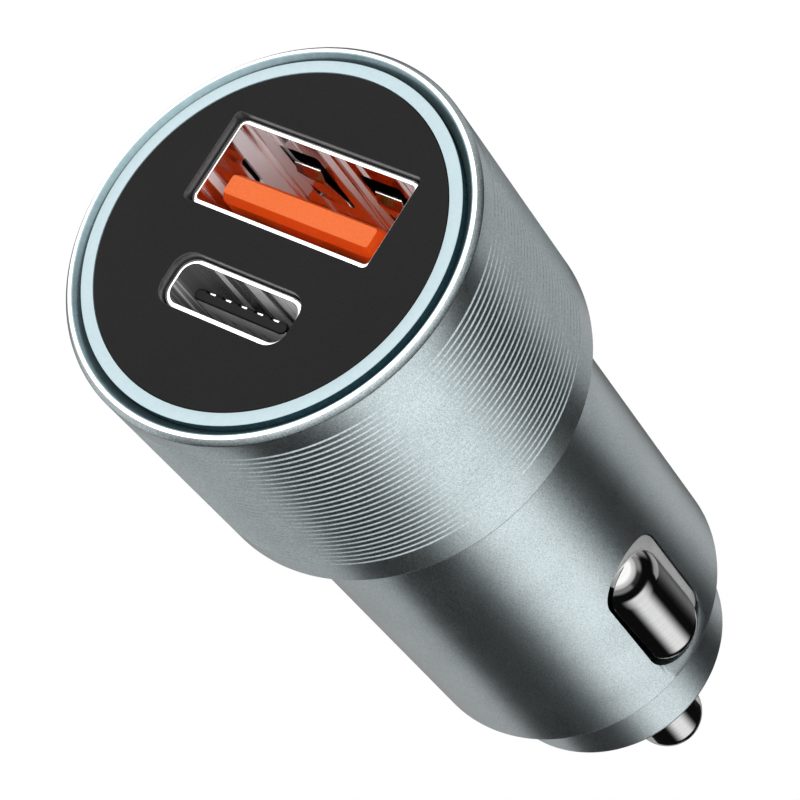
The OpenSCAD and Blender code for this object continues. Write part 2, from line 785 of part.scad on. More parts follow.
module control_chip() {
    color([0.12, 0.12, 0.13])
        mirror([1, 0, 0])
            translate([board_face, 0, chip_z])
                chip();
}

// Surface fuse with metal end caps, between the tip's terminal and the input
module fuse() {
    l = 5.6;
    w = 2.5;
    h = 2.2;
    cap = 1;
    step = 0.1;
    color([0.90, 0.90, 0.86])
        translate([-board_face - h, 0.9, main_board_end_z + 0.6])
            union() {
                translate([step, step, step])
                    cube([h - step, w - 2 * step, l - 2 * step]);
                for (z = [0, l - cap])
                    translate([0, 0, z])
                        cube([h, w, cap]);
            }
}

// Small ceramic capacitors on both faces of the main board
module chip_capacitors() {
    l = 1.8;
    w = 1.2;
    h = 0.9;
    pitch = 2.4;
    edge_gap = 2.87;      // from the middle of a row to the board's edge
    row_y = main_board_r - edge_gap;
    color([0.66, 0.52, 0.36])
        for (side = [0, 1])
            mirror([side, 0, 0])
                for (y = [-row_y, row_y])
                    for (i = [0:3])
                        translate([board_face, y - w / 2, chip_z + l - i * pitch])
                            cube([h, w, l]);
}

// Small lamps on the socket board, one under each leg of the light ring
module indicator_lights() {
    color([0.95, 0.94, 0.80])
        for (a = leg_angles)
            rotate([0, 0, a])
                translate([leg_r - leg_t / 2 + 0.05, -0.8, board_top_z])
                    cube([leg_t - 0.1, 1.6, light_h]);
}

// Half of the bulge's wall in cross section, its height along Y
module half_bulge() {
    intersection() {
        translate([0, bulge_x])
            difference() {
                circle(bulge_r, $fn = fine);
                circle(bulge_r - contact_t, $fn = fine);
            }
        translate([0, shelf_x - contact_t / 2])
            square(2 * bulge_r);
    }
}

// Outline of the shelf that fills the window, or of the hollow behind it
module shelf_2d(inset) {
    translate([0, window_z])
        slot_2d(shelf_w - 2 * inset, shelf_l - 2 * inset);
}

// Pressed sheet contact: a flange in the barrel, a shelf that fills the window and, on it,
// a long domed bulge, all hollow behind
module side_contact() {
    straight = bulge_l - 2 * bulge_r;
    hollow_r = sqrt(pow(bulge_r - contact_t, 2) - pow(shelf_x - contact_t - bulge_x, 2));
    difference() {
        union() {
            along_x(contact_wall_x, contact_t)
                translate([0, flange_z])
                    rounded(2 * flange_half, flange_l, 1);
            along_x(contact_wall_x, shelf_x - contact_wall_x)
                shelf_2d(0);
        }
        along_x(contact_wall_x - overcut, shelf_x - contact_t - contact_wall_x + overcut)
            shelf_2d(contact_t);
        along_x(shelf_x - 2 * contact_t, 3 * contact_t)
            translate([0, contact_z])
                slot_2d(2 * hollow_r, straight + 2 * hollow_r);
    }
    translate([0, 0, contact_z - straight / 2])
        linear_extrude(straight)
            rotate([0, 0, -90])
                for (half = [0, 1])
                    mirror([half, 0, 0])
                        half_bulge();
    for (end = [0, 1])
        translate([0, 0, contact_z])
            mirror([0, 0, end])
                translate([0, 0, -straight / 2])
                    rotate([0, 90, 0])
                        rotate([0, 0, -90])
                            rotate_extrude(angle = 180, $fn = fine)
                                half_bulge();
}

module side_contact_right() {
    color([0.80, 0.80, 0.82])
        union()
            side_contact();
}

module side_contact_left() {
    color([0.80, 0.80, 0.82])
        rotate([0, 0, 180])
            union()
                side_contact();
}

module side_spring() {
    translate([side_spring_x, 0, contact_z])
        rotate([0, 90, 0])
            coil(side_spring_r, side_wire, side_spring_l, 7);
}

module side_spring_right() {
    color([0.75, 0.75, 0.77])
        side_spring();
}

module side_spring_left() {
    color([0.75, 0.75, 0.77])
        rotate([0, 0, 180])
            side_spring();
}

// Plate under a side spring, with a pin that reaches the main board's face
module ground_pin() {
    translate([spring_seat_x, 0, contact_z])
        rotate([0, 90, 0])
            cylinder(h = pin_plate_t, r = well_r - fit, $fn = 48);
    translate([board_face, 0, contact_z])
        rotate([0, 90, 0])
            cylinder(h = spring_seat_x - board_face + pin_plate_t / 2, r = 0.35, $fn = 32);
}

module ground_pin_right() {
    color([0.86, 0.70, 0.36])
        ground_pin();
}

module ground_pin_left() {
    color([0.86, 0.70, 0.36])
        rotate([0, 0, 180])
            ground_pin();
}

// Black cone with a neck that screws into the nose cap and a guide hole for the tip
module tip_insulator() {
    end_break = 0.3;
    color([0.13, 0.13, 0.14])
        rotate_extrude($fn = fine)
            polygon([[cavity_r, neck_z], [nose_hole_d / 2 - fit, neck_z],
                [nose_hole_d / 2 - fit, nose_z], [cone_d / 2, nose_z],
                [cone_end_d / 2, cone_z + end_break], [cone_end_d / 2 - end_break, cone_z],
                [guide_r, cone_z], [guide_r, cavity_z], [cavity_r, cavity_z]]);
}

// Plate over the insulator's neck, with a tab that is soldered to the main board
module tip_terminal() {
    sheet_t = 0.4;
    tab_w = 2.4;
    tab_lap = 1.6;        // how far the tab lies along the main board
    rim = 0.3;            // width of the neck's end that the plate leaves free
    color([0.86, 0.70, 0.36])
        union() {
            translate([0, 0, neck_z])
                cylinder(h = sheet_t, r = nose_hole_d / 2 - rim, $fn = fine);
            translate([board_face, -tab_w / 2, neck_z])
                cube([sheet_t, tab_w, main_board_end_z + tab_lap - neck_z]);
        }
}

module tip_spring() {
    color([0.75, 0.75, 0.77])
        translate([0, 0, tip_top_z + tip_spring_end_gap])
            coil(tip_spring_r, tip_wire, tip_spring_l, 8);
}

// Turned pin with a domed end, a flange and a stub that centres the spring
module tip_contact() {
    stub_r = tip_spring_r - tip_wire / 2 - 0.2;
    stub_h = 1.2;
    color([0.80, 0.80, 0.82])
        union() {
            translate([0, 0, tip_z + tip_r])
                sphere(tip_r, $fn = fine);
            translate([0, 0, tip_z + tip_r])
                cylinder(h = tip_flange_z - tip_z - tip_r + 0.1, r = tip_r, $fn = fine);
            translate([0, 0, tip_flange_z])
                cylinder(h = tip_flange_t, r = tip_flange_d / 2, $fn = fine);
            translate([0, 0, tip_flange_z])
                cylinder(h = tip_flange_t + stub_h, r = stub_r, $fn = fine);
        }
}

housing();
nose_cap();
face_plate();
light_ring();
wide_shell();
wide_tongue();
wide_contacts();
narrow_shell();
narrow_tongue();
narrow_contacts();
carrier();
socket_board();
main_board();
header_pins();
capacitor_in();
capacitor_out();
inductor_core();
inductor_winding();
power_chip();
control_chip();
fuse();
chip_capacitors();
indicator_lights();
side_contact_right();
side_contact_left();
side_spring_right();
side_spring_left();
ground_pin_right();
ground_pin_left();
tip_insulator();
tip_terminal();
tip_spring();
tip_contact();
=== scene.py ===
import math

import bmesh
import bpy
from mathutils import Matrix, Vector


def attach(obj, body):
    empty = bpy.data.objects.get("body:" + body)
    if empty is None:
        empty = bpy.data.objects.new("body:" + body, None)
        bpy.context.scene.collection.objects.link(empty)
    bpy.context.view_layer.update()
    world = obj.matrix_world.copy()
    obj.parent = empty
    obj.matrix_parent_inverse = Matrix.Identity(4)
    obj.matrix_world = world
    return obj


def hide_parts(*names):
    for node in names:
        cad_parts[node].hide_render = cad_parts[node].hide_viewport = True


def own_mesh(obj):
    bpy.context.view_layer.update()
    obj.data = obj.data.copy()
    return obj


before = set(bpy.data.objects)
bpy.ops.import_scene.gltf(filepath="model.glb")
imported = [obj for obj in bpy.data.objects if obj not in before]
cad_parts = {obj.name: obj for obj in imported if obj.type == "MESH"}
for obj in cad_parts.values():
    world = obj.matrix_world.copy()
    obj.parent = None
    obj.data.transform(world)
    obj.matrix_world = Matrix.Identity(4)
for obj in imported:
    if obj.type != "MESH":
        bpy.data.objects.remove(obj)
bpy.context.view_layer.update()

# Sizes in millimetres, the same as in the part's source
MM = 0.001
HEAD_R, HEAD_L = 12.4, 17.3
RIM_OUT_R, RIM_IN_R, RIM_BEVEL_H = 12.11, 11.84, 0.319
CHANNEL_DEPTH = 0.6
RING_OUT_R, RING_IN_R, RING_H = 11.31, 10.56, 3.0
SEAT_R, HEAD_BORE_R = 11.35, 10.75
GROOVES, GROOVE_PITCH, GROOVE_START = 28, 0.48444, 2.34
GROOVE_W, GROOVE_DEPTH = 0.17, 0.09
BARREL_R, BARREL_BORE_R, BARREL_END = 10.4, 9.3, -29.2
END_WALL, END_HOLE_R, STEP_Z = 1.1, 7.0, 1.6
PLATE_R, PLATE_T = 10.52, 1.6
SHELL_Z, SHELL_T, BOARD_TOP_Z = 16.8, 0.3, 3.6
WIDE_Y, WIDE_W, WIDE_H = 3.35, 13.1, 5.7
NARROW_Y, NARROW_W, NARROW_H, NARROW_CORNER = -3.92, 8.94, 3.16, 1.15
CONTACT_Z, BULGE_L, BULGE_R, BULGE_X = -21.9, 11.8, 2.4, 9.1
SHEET_T, FLANGE_X, FLANGE_HALF, FLANGE_TOP_Z = 0.45, 8.55, 3.2, -14.6
WINDOW_R, WINDOW_TOP_Z, WINDOW_END_Z = 2.7, -15.1, -28.1
NOSE_R, NOSE_END, NOSE_HOLE_R, NOSE_BORE_R = 8.35, -37.0, 4.9, 5.9
CONE_R, CONE_SMALL_R, CONE_END, TIP_END, TIP_R = 7.6, 3.45, -45.6, -52.3, 2.5


# Camera at the photograph's angle, in metres
def aim_camera():
    data = bpy.data.cameras.new("camera")
    data.sensor_width, data.lens = 36.0, 137.25
    data.clip_start, data.clip_end = 0.01, 20.0
    camera = bpy.data.objects.new("camera", data)
    bpy.context.scene.collection.objects.link(camera)
    right = Vector((0.7634062, 0.5149777, -0.3898833))
    up = Vector((-0.3230308, 0.8270947, 0.4599624))
    back = Vector((0.5593408, -0.2251938, 0.7977629))
    place = Vector((0.0998913, -0.0404155, 0.1412103))
    camera.matrix_world = Matrix.Translation(place) @ Matrix((right, up, back)).transposed().to_4x4()
    bpy.context.scene.camera = camera


aim_camera()


# Materials
class Nodes:
    """Short names for adding and joining nodes in one tree."""

    def __init__(self, tree):
        self.tree = tree

    def add(self, kind, **values):
        node = self.tree.nodes.new("ShaderNode" + kind)
        for name, value in values.items():
            setattr(node, name, value)
        return node

    def link(self, a, b):
        self.tree.links.new(a, b)

    def math(self, operation, *inputs):
        node = self.add("Math", operation=operation)
        for socket, value in zip(node.inputs, inputs):
            if isinstance(value, (int, float)):
                socket.default_value = value
            else:
                self.link(value, socket)
        return node.outputs[0]

    def ramp(self, value, low, high, to_low=0.0, to_high=1.0, smooth=True):
        node = self.add("MapRange", interpolation_type="SMOOTHSTEP" if smooth else "LINEAR")
        self.link(value, node.inputs["Value"])
        numbers = {"From Min": low, "From Max": high, "To Min": to_low, "To Max": to_high}
        for name, number in numbers.items():
            node.inputs[name].default_value = number
        return node.outputs["Result"]

    def mix(self, factor, a, b):
        node = self.add("Mix", data_type="RGBA")
        for socket, value in zip((node.inputs[0], node.inputs[6], node.inputs[7]), (factor, a, b)):
            if isinstance(value, tuple):
                socket.default_value = (*value, 1.0)
            elif isinstance(value, (int, float)):
                socket.default_value = value
            else:
                self.link(value, socket)
        return node.outputs[2]


def linear(*srgb):
    """Scene-linear values of a colour as it is seen on a screen."""
    return tuple(c / 12.92 if c <= 0.04045 else ((c + 0.055) / 1.055) ** 2.4 for c in srgb)


def make_skin_group():
    """Fine grain, broad patches and the bumped normal of a blasted or moulded surface."""
    tree = bpy.data.node_groups.new("fine_skin", "ShaderNodeTree")
    for name, start in (("Grain size", 0.0001), ("Grain depth", 0.00001), ("Patch size", 0.004)):
        socket = tree.interface.new_socket(name, in_out="INPUT", socket_type="NodeSocketFloat")
        socket.default_value = start
    for name, kind in (("Grain", "Float"), ("Patches", "Float"), ("Normal", "Vector")):
        tree.interface.new_socket(name, in_out="OUTPUT", socket_type="NodeSocket" + kind)
    n = Nodes(tree)
    inside, outside = tree.nodes.new("NodeGroupInput"), tree.nodes.new("NodeGroupOutput")
    place = n.add("TexCoord")
    grain = n.add("TexNoise")
    grain.inputs["Detail"].default_value = 2.0
    n.link(place.outputs["Object"], grain.inputs["Vector"])
    n.link(n.math("DIVIDE", 1.0, inside.outputs["Grain size"]), grain.inputs["Scale"])
    patches = n.add("TexNoise")
    patches.inputs["Detail"].default_value = 3.0
    n.link(place.outputs["Object"], patches.inputs["Vector"])
    n.link(n.math("DIVIDE", 1.0, inside.outputs["Patch size"]), patches.inputs["Scale"])
    bump = n.add("Bump")
    bump.inputs["Distance"].default_value = 1.0
    n.link(n.math("MULTIPLY", grain.outputs["Fac"], inside.outputs["Grain depth"]), bump.inputs["Height"])
    n.link(n.ramp(grain.outputs["Fac"], 0.3, 0.7), outside.inputs["Grain"])
    n.link(n.ramp(patches.outputs["Fac"], 0.3, 0.7), outside.inputs["Patches"])
    n.link(bump.outputs["Normal"], outside.inputs["Normal"])
    return tree


def make_streak_group():
    """Long marks that a drawing die or a brush leaves, as a mask and a bumped normal."""
    tree = bpy.data.node_groups.new("drawn_streaks", "ShaderNodeTree")
    spacing = tree.interface.new_socket("Spacing", in_out="INPUT", socket_type="NodeSocketVector")
    spacing.default_value = (0.001, 0.001, 0.02)
    depth = tree.interface.new_socket("Depth", in_out="INPUT", socket_type="NodeSocketFloat")
    depth.default_value = 0.00001
    for name, kind in (("Streaks", "Float"), ("Normal", "Vector")):
        tree.interface.new_socket(name, in_out="OUTPUT", socket_type="NodeSocket" + kind)
    n = Nodes(tree)
    inside, outside = tree.nodes.new("NodeGroupInput"), tree.nodes.new("NodeGroupOutput")
    scaled = n.add("VectorMath", operation="DIVIDE")
    n.link(n.add("TexCoord").outputs["Object"], scaled.inputs[0])
    n.link(inside.outputs["Spacing"], scaled.inputs[1])
    marks = n.add("TexNoise")
    marks.inputs["Scale"].default_value = 1.0
    marks.inputs["Detail"].default_value = 3.0
    n.link(scaled.outputs["Vector"], marks.inputs["Vector"])
    bump = n.add("Bump")
    bump.inputs["Distance"].default_value = 1.0
    n.link(n.math("MULTIPLY", marks.outputs["Fac"], inside.outputs["Depth"]), bump.inputs["Height"])
    n.link(marks.outputs["Fac"], outside.inputs["Streaks"])
    n.link(bump.outputs["Normal"], outside.inputs["Normal"])
    return tree


skin_group = make_skin_group()
streak_group = make_streak_group()


GRAIN_SHARE, PATCH_SHARE = 0.8, 0.2


def finish(name, dark, light, rough, grain_size, grain_depth, grain_metal=None, **settings):
    """A material whose colour and roughness run between two values with the surface's grain.

    grain_size and grain_depth are in mm. grain_metal is the Metallic value of the darkest and the
    lightest grain.
    """
    material = bpy.data.materials.new(name)
    material.use_nodes = True
    n = Nodes(material.node_tree)
    shader = material.node_tree.nodes["Principled BSDF"]
    skin = n.add("Group", node_tree=skin_group)
    skin.inputs["Grain size"].default_value = grain_size * MM
    skin.inputs["Grain depth"].default_value = grain_depth * MM
    speckle = n.math("MULTIPLY", skin.outputs["Grain"], GRAIN_SHARE)
    tone = n.math("MULTIPLY_ADD", skin.outputs["Patches"], PATCH_SHARE, speckle)
    n.link(n.mix(tone, linear(*dark), linear(*light)), shader.inputs["Base Color"])
    n.link(n.ramp(skin.outputs["Patches"], 0.0, 1.0, *rough, smooth=False), shader.inputs["Roughness"])
    n.link(skin.outputs["Normal"], shader.inputs["Normal"])
    if grain_metal:
        metal = n.ramp(skin.outputs["Grain"], 0.0, 1.0, *grain_metal, smooth=False)
        n.link(metal, shader.inputs["Metallic"])
    for key, value in settings.items():
        shader.inputs[key.replace("_", " ").title().replace("Ior", "IOR")].default_value = value
    return material


# Bands of painted highlight on sheet metal: more bright streaks across a band, fewer elsewhere
LIT_BAND_EDGE, LIT_BAND_GAIN, LIT_BAND_BASE = 0.4, 0.15, -0.06


def drawn_sheet(name, dark, light, spacing, depth, edges, metallic, rough, lit_bands=()):
    """Sheet metal with bright satin streaks between darker mirror-like ones.

    spacing and depth are those of the streaks, in mm. The last argument holds (centre, half width) of
    bands along X, in mm, that carry more of the bright streaks, as painted highlight.
    """
    material = bpy.data.materials.new(name)
    material.use_nodes = True
    n = Nodes(material.node_tree)
    shader = material.node_tree.nodes["Principled BSDF"]
    marks = n.add("Group", node_tree=streak_group)
    marks.inputs["Spacing"].default_value = [step * MM for step in spacing]
    marks.inputs["Depth"].default_value = depth * MM
    streaks = marks.outputs["Streaks"]
    # Painted highlight in bands along X
    if lit_bands:
        place = n.add("SeparateXYZ")
        n.link(n.add("TexCoord").outputs["Object"], place.inputs["Vector"])
        bands = 0.0
        for centre, half in lit_bands:
            distance = n.math("ABSOLUTE", n.math("SUBTRACT", place.outputs["X"], centre * MM))
            band = n.ramp(distance, (half + LIT_BAND_EDGE) * MM, (half - LIT_BAND_EDGE) * MM)
            bands = n.math("MAXIMUM", band, bands)
        streaks = n.math("ADD", n.math("MULTIPLY_ADD", bands, LIT_BAND_GAIN, LIT_BAND_BASE), streaks)
    bright = n.ramp(streaks, *edges)
    n.link(n.mix(bright, linear(*dark), linear(*light)), shader.inputs["Base Color"])
    n.link(n.ramp(bright, 0.0, 1.0, *metallic, smooth=False), shader.inputs["Metallic"])
    n.link(n.ramp(bright, 0.0, 1.0, *rough, smooth=False), shader.inputs["Roughness"])
    n.link(marks.outputs["Normal"], shader.inputs["Normal"])
    return material


blasted_metal = finish("blasted_metal", (0.54, 0.583, 0.593), (0.705, 0.745, 0.755), (0.277, 0.283),
                       0.09, 0.0035, grain_metal=(1.0, 0.89))
cut_rim = finish("cut_rim", (0.90, 0.92, 0.92), (0.95, 0.96, 0.96), (0.10, 0.16),
                 0.2, 0.0005, metallic=1.0)
plated = drawn_sheet("polished_plate", (0.61, 0.615, 0.615), (0.64, 0.64, 0.635), (4, 4, 0.1),
                     0.0007, (0.35, 0.65), (1.0, 1.0), (0.05, 0.10))
satin_plate = finish("satin_plate", (0.80, 0.805, 0.805), (0.84, 0.84, 0.835), (0.38, 0.42),
                     0.3, 0.0004, metallic=0.65)
# Near-black plate: painted shade and painted dark reflection on parts of the side contacts
shade_painted_plate = finish("shade_painted_plate", (0.06, 0.065, 0.07), (0.09, 0.095, 0.10), (0.30, 0.36),
                      0.3, 0.0004, metallic=0.9)
nickel_sheet = finish("nickel_sheet", (0.86, 0.86, 0.86), (0.92, 0.92, 0.92), (0.12, 0.20),
                      0.3, 0.0012, metallic=1.0)
# Socket walls: the bright streaks are near-white and barely metallic, so lamp light on them is a painted
# reflection over real drawing marks
wide_walls = drawn_sheet("drawn_wide_walls", (0.93, 0.92, 0.92), (0.97, 0.97, 0.98), (1.4, 1.4, 30),
                         0.015, (0.475, 0.55), (1.0, 0.05), (0.10, 0.40),
                         lit_bands=((0.2, 1.0), (5.8, 0.9)))
# The same on the narrow socket's walls: near-white streaks as painted reflection over real drawing marks
narrow_walls = drawn_sheet("drawn_narrow_walls", (0.66, 0.66, 0.66), (0.98, 0.98, 0.98),
                           (0.9, 0.9, 30), 0.015, (0.46, 0.56), (0.70, 0.05), (0.20, 0.35))
# Lighter grey for the walls of the face plate's holes: painted sheen on the same black face plastic
lip_painted_sheen = finish("plate_lip", (0.23, 0.23, 0.235), (0.27, 0.27, 0.275), (0.35, 0.42),
                   0.12, 0.001)
face_black = finish("face_plastic", (0.115, 0.115, 0.115), (0.135, 0.135, 0.135), (0.50, 0.60),
                    0.12, 0.0015, specular_ior_level=0.06)
cone_black = finish("cone_plastic", (0.11, 0.11, 0.115), (0.14, 0.14, 0.145), (0.38, 0.48),
                    0.18, 0.002)
tongue_black = finish("tongue_plastic", (0.02, 0.02, 0.02), (0.035, 0.035, 0.035), (0.34, 0.42),
                      0.15, 0.0012, specular_ior_level=0.12)
# Lighter grey for the black tongue's lower side: painted light on the same black plastic
tongue_lit_side = finish("tongue_lit_side", (0.60, 0.60, 0.605), (0.66, 0.66, 0.665), (0.40, 0.50),
                     0.15, 0.0012)
# The tongue's orange in a shaded copy for its sides and a lit copy for its front face: painted light and
# shade on one plastic
orange = finish("orange_plastic", (0.86, 0.27, 0.02), (0.90, 0.30, 0.03), (0.42, 0.52),
                0.15, 0.001, specular_ior_level=0.2)
orange_lit_front = finish("orange_lit_front", (0.905, 0.40, 0.14), (0.935, 0.43, 0.165), (0.50, 0.60),
                      0.15, 0.001)
# Dark teal for the light ring's outer side down in the channel: painted shade on the same pale ring
ring_side_shade = finish("ring_side_shade", (0.15, 0.25, 0.28), (0.19, 0.30, 0.33), (0.22, 0.30),
                   0.3, 0.0005, specular_ior_level=0.2)
cut_channel = finish("cut_channel", (0.46, 0.54, 0.56), (0.50, 0.58, 0.60), (0.24, 0.30),
                     0.4, 0.0004, metallic=0.8)
clear_ring = finish("pale_ring", (0.765, 0.85, 0.875), (0.785, 0.87, 0.89), (0.28, 0.36),
                    0.3, 0.0005, specular_ior_level=0.35)
gold = finish("gold_plate", (0.82, 0.68, 0.36), (0.90, 0.76, 0.44), (0.20, 0.30),
              0.2, 0.0006, metallic=1.0)
pad_metal = finish("pad_plate", (0.90, 0.89, 0.86), (0.96, 0.95, 0.93), (0.18, 0.28),
                   0.2, 0.0004, metallic=1.0)
board_green = finish("board_lacquer", (0.05, 0.26, 0.16), (0.09, 0.34, 0.22), (0.32, 0.45),
                     0.4, 0.003)
carrier_black = finish("carrier_plastic", (0.12, 0.12, 0.13), (0.16, 0.16, 0.17), (0.45, 0.55),
                       0.2, 0.0025)
can_blue = finish("can_sleeve", (0.10, 0.12, 0.22), (0.14, 0.16, 0.28), (0.25, 0.35),
                  0.5, 0.001)
ferrite = finish("ferrite", (0.17, 0.17, 0.18), (0.24, 0.24, 0.25), (0.60, 0.75),
                 0.15, 0.006)
copper = finish("enamelled_copper", (0.68, 0.34, 0.16), (0.80, 0.44, 0.22), (0.20, 0.30),
                0.25, 0.001, metallic=1.0)
chip_black = finish("chip_package", (0.08, 0.08, 0.085), (0.12, 0.12, 0.125), (0.55, 0.70),
                    0.12, 0.003)
chip_clay = finish("chip_ceramic", (0.66, 0.54, 0.40), (0.76, 0.66, 0.52), (0.45, 0.60),
                   0.2, 0.0015)
lamp_cream = finish("lamp_resin", (0.90, 0.88, 0.70), (0.96, 0.95, 0.82), (0.20, 0.30),
                    0.3, 0.0008)
wire_steel = finish("spring_wire", (0.62, 0.62, 0.63), (0.72, 0.72, 0.73), (0.20, 0.30),
                    0.2, 0.001, metallic=1.0)


# Shaping
MERGE = 0.0001     # points nearer than this become one
HAIR = 0.001       # the least step between two surfaces
SKIN = 0.02        # how near a face lies to count as on a surface


def keep(bm, name, material, body, slot, *stands_for, sharp=32.0):
    """Turns a bmesh into a finished piece that rides on its body."""
    bmesh.ops.recalc_face_normals(bm, faces=bm.faces)
    mesh = bpy.data.meshes.new(name)
    bm.to_mesh(mesh)
    bm.free()
    piece = bpy.data.objects.new(name, mesh)
    bpy.context.scene.collection.objects.link(piece)
    mesh.materials.append(material)
    smooth(mesh, sharp)
    piece.modifiers.new("even_normals", "WEIGHTED_NORMAL").keep_sharp = True
    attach(piece, body)
    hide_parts(*stands_for)
    return piece


def paint(piece, material, where):
    """Gives a second material to the faces that pass a test on their centre and normal, in mm."""
    piece.data.materials.append(material)
    last = len(piece.data.materials) - 1
    for face in piece.data.polygons:
        if where(face.center / MM, face.normal):
            face.material_index = last


def from_axis(spot):
    return math.hypot(spot.x, spot.y)


def smooth(mesh, sharp):
    """Shades a mesh smooth, apart from the edges that are sharper than an angle in degrees."""
    mesh.shade_smooth()
    mesh.set_sharp_from_angle(angle=math.radians(sharp))


def turned(outline, rounds=(), steps=192, closed=True):
    """Spins an outline of (radius, height) points; rounds holds (point, size, segments)."""
    bm = bmesh.new()
    points = [bm.verts.new((r * MM, 0, z * MM)) for r, z in outline]
    for a, b in zip(points, points[1:] + (points[:1] if closed else [])):
        bm.edges.new((a, b))
    for index, size, segments in rounds:
        bmesh.ops.bevel(bm, geom=[points[index]], offset=size * MM, offset_type="OFFSET",
                        segments=segments, profile=0.5, affect="VERTICES", material=-1)
    bmesh.ops.spin(bm, geom=bm.verts[:] + bm.edges[:], cent=(0, 0, 0), axis=(0, 0, 1),
                   angle=math.tau, steps=steps, use_merge=True)
    bmesh.ops.remove_doubles(bm, verts=bm.verts, dist=MERGE * MM)
    return bm


def move(bm, geom, x=0.0, y=0.0, z=0.0):
    bmesh.ops.translate(bm, verts=[v for v in geom if isinstance(v, bmesh.types.BMVert)],
                        vec=Vector((x, y, z)) * MM)


def raise_face(bm, faces, x=0.0, y=0.0, z=0.0):
    """Draws faces out into a solid and gives what was made."""
    made = bmesh.ops.extrude_face_region(bm, geom=faces)["geom"]
    move(bm, made, x, y, z)
    return made


def rounded_plate(w, h, corner, segments=6):
    """One flat face with round corners, at height 0."""
    bm = bmesh.new()
    made = bmesh.ops.create_grid(bm, x_segments=1, y_segments=1, size=0.5)["verts"]
    bmesh.ops.scale(bm, verts=made, vec=(w * MM, h * MM, 1))
    bmesh.ops.bevel(bm, geom=made, offset=corner * MM, offset_type="OFFSET", segments=segments,
                    profile=0.5, affect="VERTICES", material=-1)
    return bm


def rounded_block(w, h, corner, low, high, y, segments=6):
    """A block with round upright corners, from one height to another."""
    bm = rounded_plate(w, h, corner, segments)
    move(bm, bm.verts[:], 0, y, low)
    raise_face(bm, bm.faces[:], z=high - low)
    bmesh.ops.recalc_face_normals(bm, faces=bm.faces)
    return bm


def tilt(bm, angle, axis):
    """Turns the whole mesh about an axis through the origin."""
    bmesh.ops.rotate(bm, verts=bm.verts, cent=(0, 0, 0), matrix=Matrix.Rotation(angle, 3, axis))


def block(bm, x, y, z, w, d, h):
    """Adds a box by its centre and size."""
    made = bmesh.ops.create_cube(bm, size=1.0)["verts"]
    bmesh.ops.scale(bm, verts=made, vec=Vector((w, d, h)) * MM)
    move(bm, made, x, y, z)
    return made


def box(*sizes):
    """A box alone, as a tool to cut with."""
    bm = bmesh.new()
    block(bm, *sizes)
    return bm


def above(z):
    """A test that passes edges higher than z."""
    return lambda edge: all(v.co.z > z * MM for v in edge.verts)


def along(axis):
    """A test that passes edges over 1 mm long that run along an axis, 0 to 2 for X to Z."""
    return lambda edge: abs(edge.verts[0].co[axis] - edge.verts[1].co[axis]) > 1.0 * MM


def soften(bm, size, angle=50.0, segments=2, where=lambda edge: True):
    """Rounds the edges that are sharper than an angle."""
    edges = [e for e in bm.edges if len(e.link_faces) == 2
             and e.calc_face_angle(0) > math.radians(angle) and where(e)]
    bmesh.ops.bevel(bm, geom=edges, offset=size * MM, offset_type="OFFSET", segments=segments,
                    profile=0.5, affect="EDGES", material=-1, clamp_overlap=True)


def join(bm, other):
    """Adds another bmesh to this one."""
    mesh = bpy.data.meshes.new("joined")
    other.to_mesh(mesh)
    other.free()
    bm.from_mesh(mesh)
    bpy.data.meshes.remove(mesh)


def cut(bm, cutters, operation="DIFFERENCE"):
    """Cuts one solid with others and gives the result as a new bmesh."""
    objects = []
    for part in (bm, *cutters):
        bmesh.ops.recalc_face_normals(part, faces=part.faces)
        mesh = bpy.data.meshes.new("cutting")
        part.to_mesh(mesh)
        part.free()
        made = bpy.data.objects.new("cutting", mesh)
        bpy.context.scene.collection.objects.link(made)
        objects.append(made)
    for tool in objects[1:]:
        step = objects[0].modifiers.new("cut", "BOOLEAN")
        step.operation, step.solver, step.object = operation, "EXACT", tool
    bpy.context.view_layer.update()
    result = bmesh.new()
    result.from_object(objects[0], bpy.context.evaluated_depsgraph_get())
    for made in objects:
        mesh = made.data
        bpy.data.objects.remove(made)
        bpy.data.meshes.remove(mesh)
    bmesh.ops.remove_doubles(result, verts=result.verts, dist=MERGE * MM)
    return result


def slot_prism(radius, low, high, x0, x1, steps=64):
    """A slot along Z with round ends, from x0 to x1."""
    bm = bmesh.new()
    bmesh.ops.create_circle(bm, cap_ends=True, radius=radius * MM, segments=steps)
    tilt(bm, math.pi / 2, "Y")
    half = (high - low) / 2 - radius
    for v in bm.verts:
        v.co.z += (half if v.co.z > 0 else -half) * MM
    move(bm, bm.verts[:], x0, 0, (low + high) / 2)
    raise_face(bm, bm.faces[:], x=x1 - x0)
    return bm


# Turned metal
WINDOW_CUT_X, WINDOW_MARGIN, RIM_EDGE_W = (7.3, 13.0), 0.3, 0.07
END_GAP, THREAD_GAP, NOSE_FLOOR = 0.02, 0.04, 1.6
NECK_TOP_Z, NECK_BORE_R, CONE_LIP, TIP_HOLE_R, TIP_ROOM_Z = -30.6, 3.6, 0.3, 2.56, -41.5
COLLAR_R, COLLAR_LOW_Z, COLLAR_TOP_Z, STUB_R, STUB_TOP_Z = 3.4, -41.45, -40.65, 2.25, -39.45


def groove(z):
    return [(HEAD_R, z - GROOVE_W / 2), (HEAD_R - GROOVE_DEPTH, z), (HEAD_R, z + GROOVE_W / 2)]


def on_window_edge(edge):
    """Tells whether an edge lies on the barrel's outside, at the height of the windows."""
    return all(abs(from_axis(v.co) / MM - BARREL_R) < SKIN
               and WINDOW_END_Z - WINDOW_MARGIN < v.co.z / MM < WINDOW_TOP_Z + WINDOW_MARGIN
               for v in edge.verts)


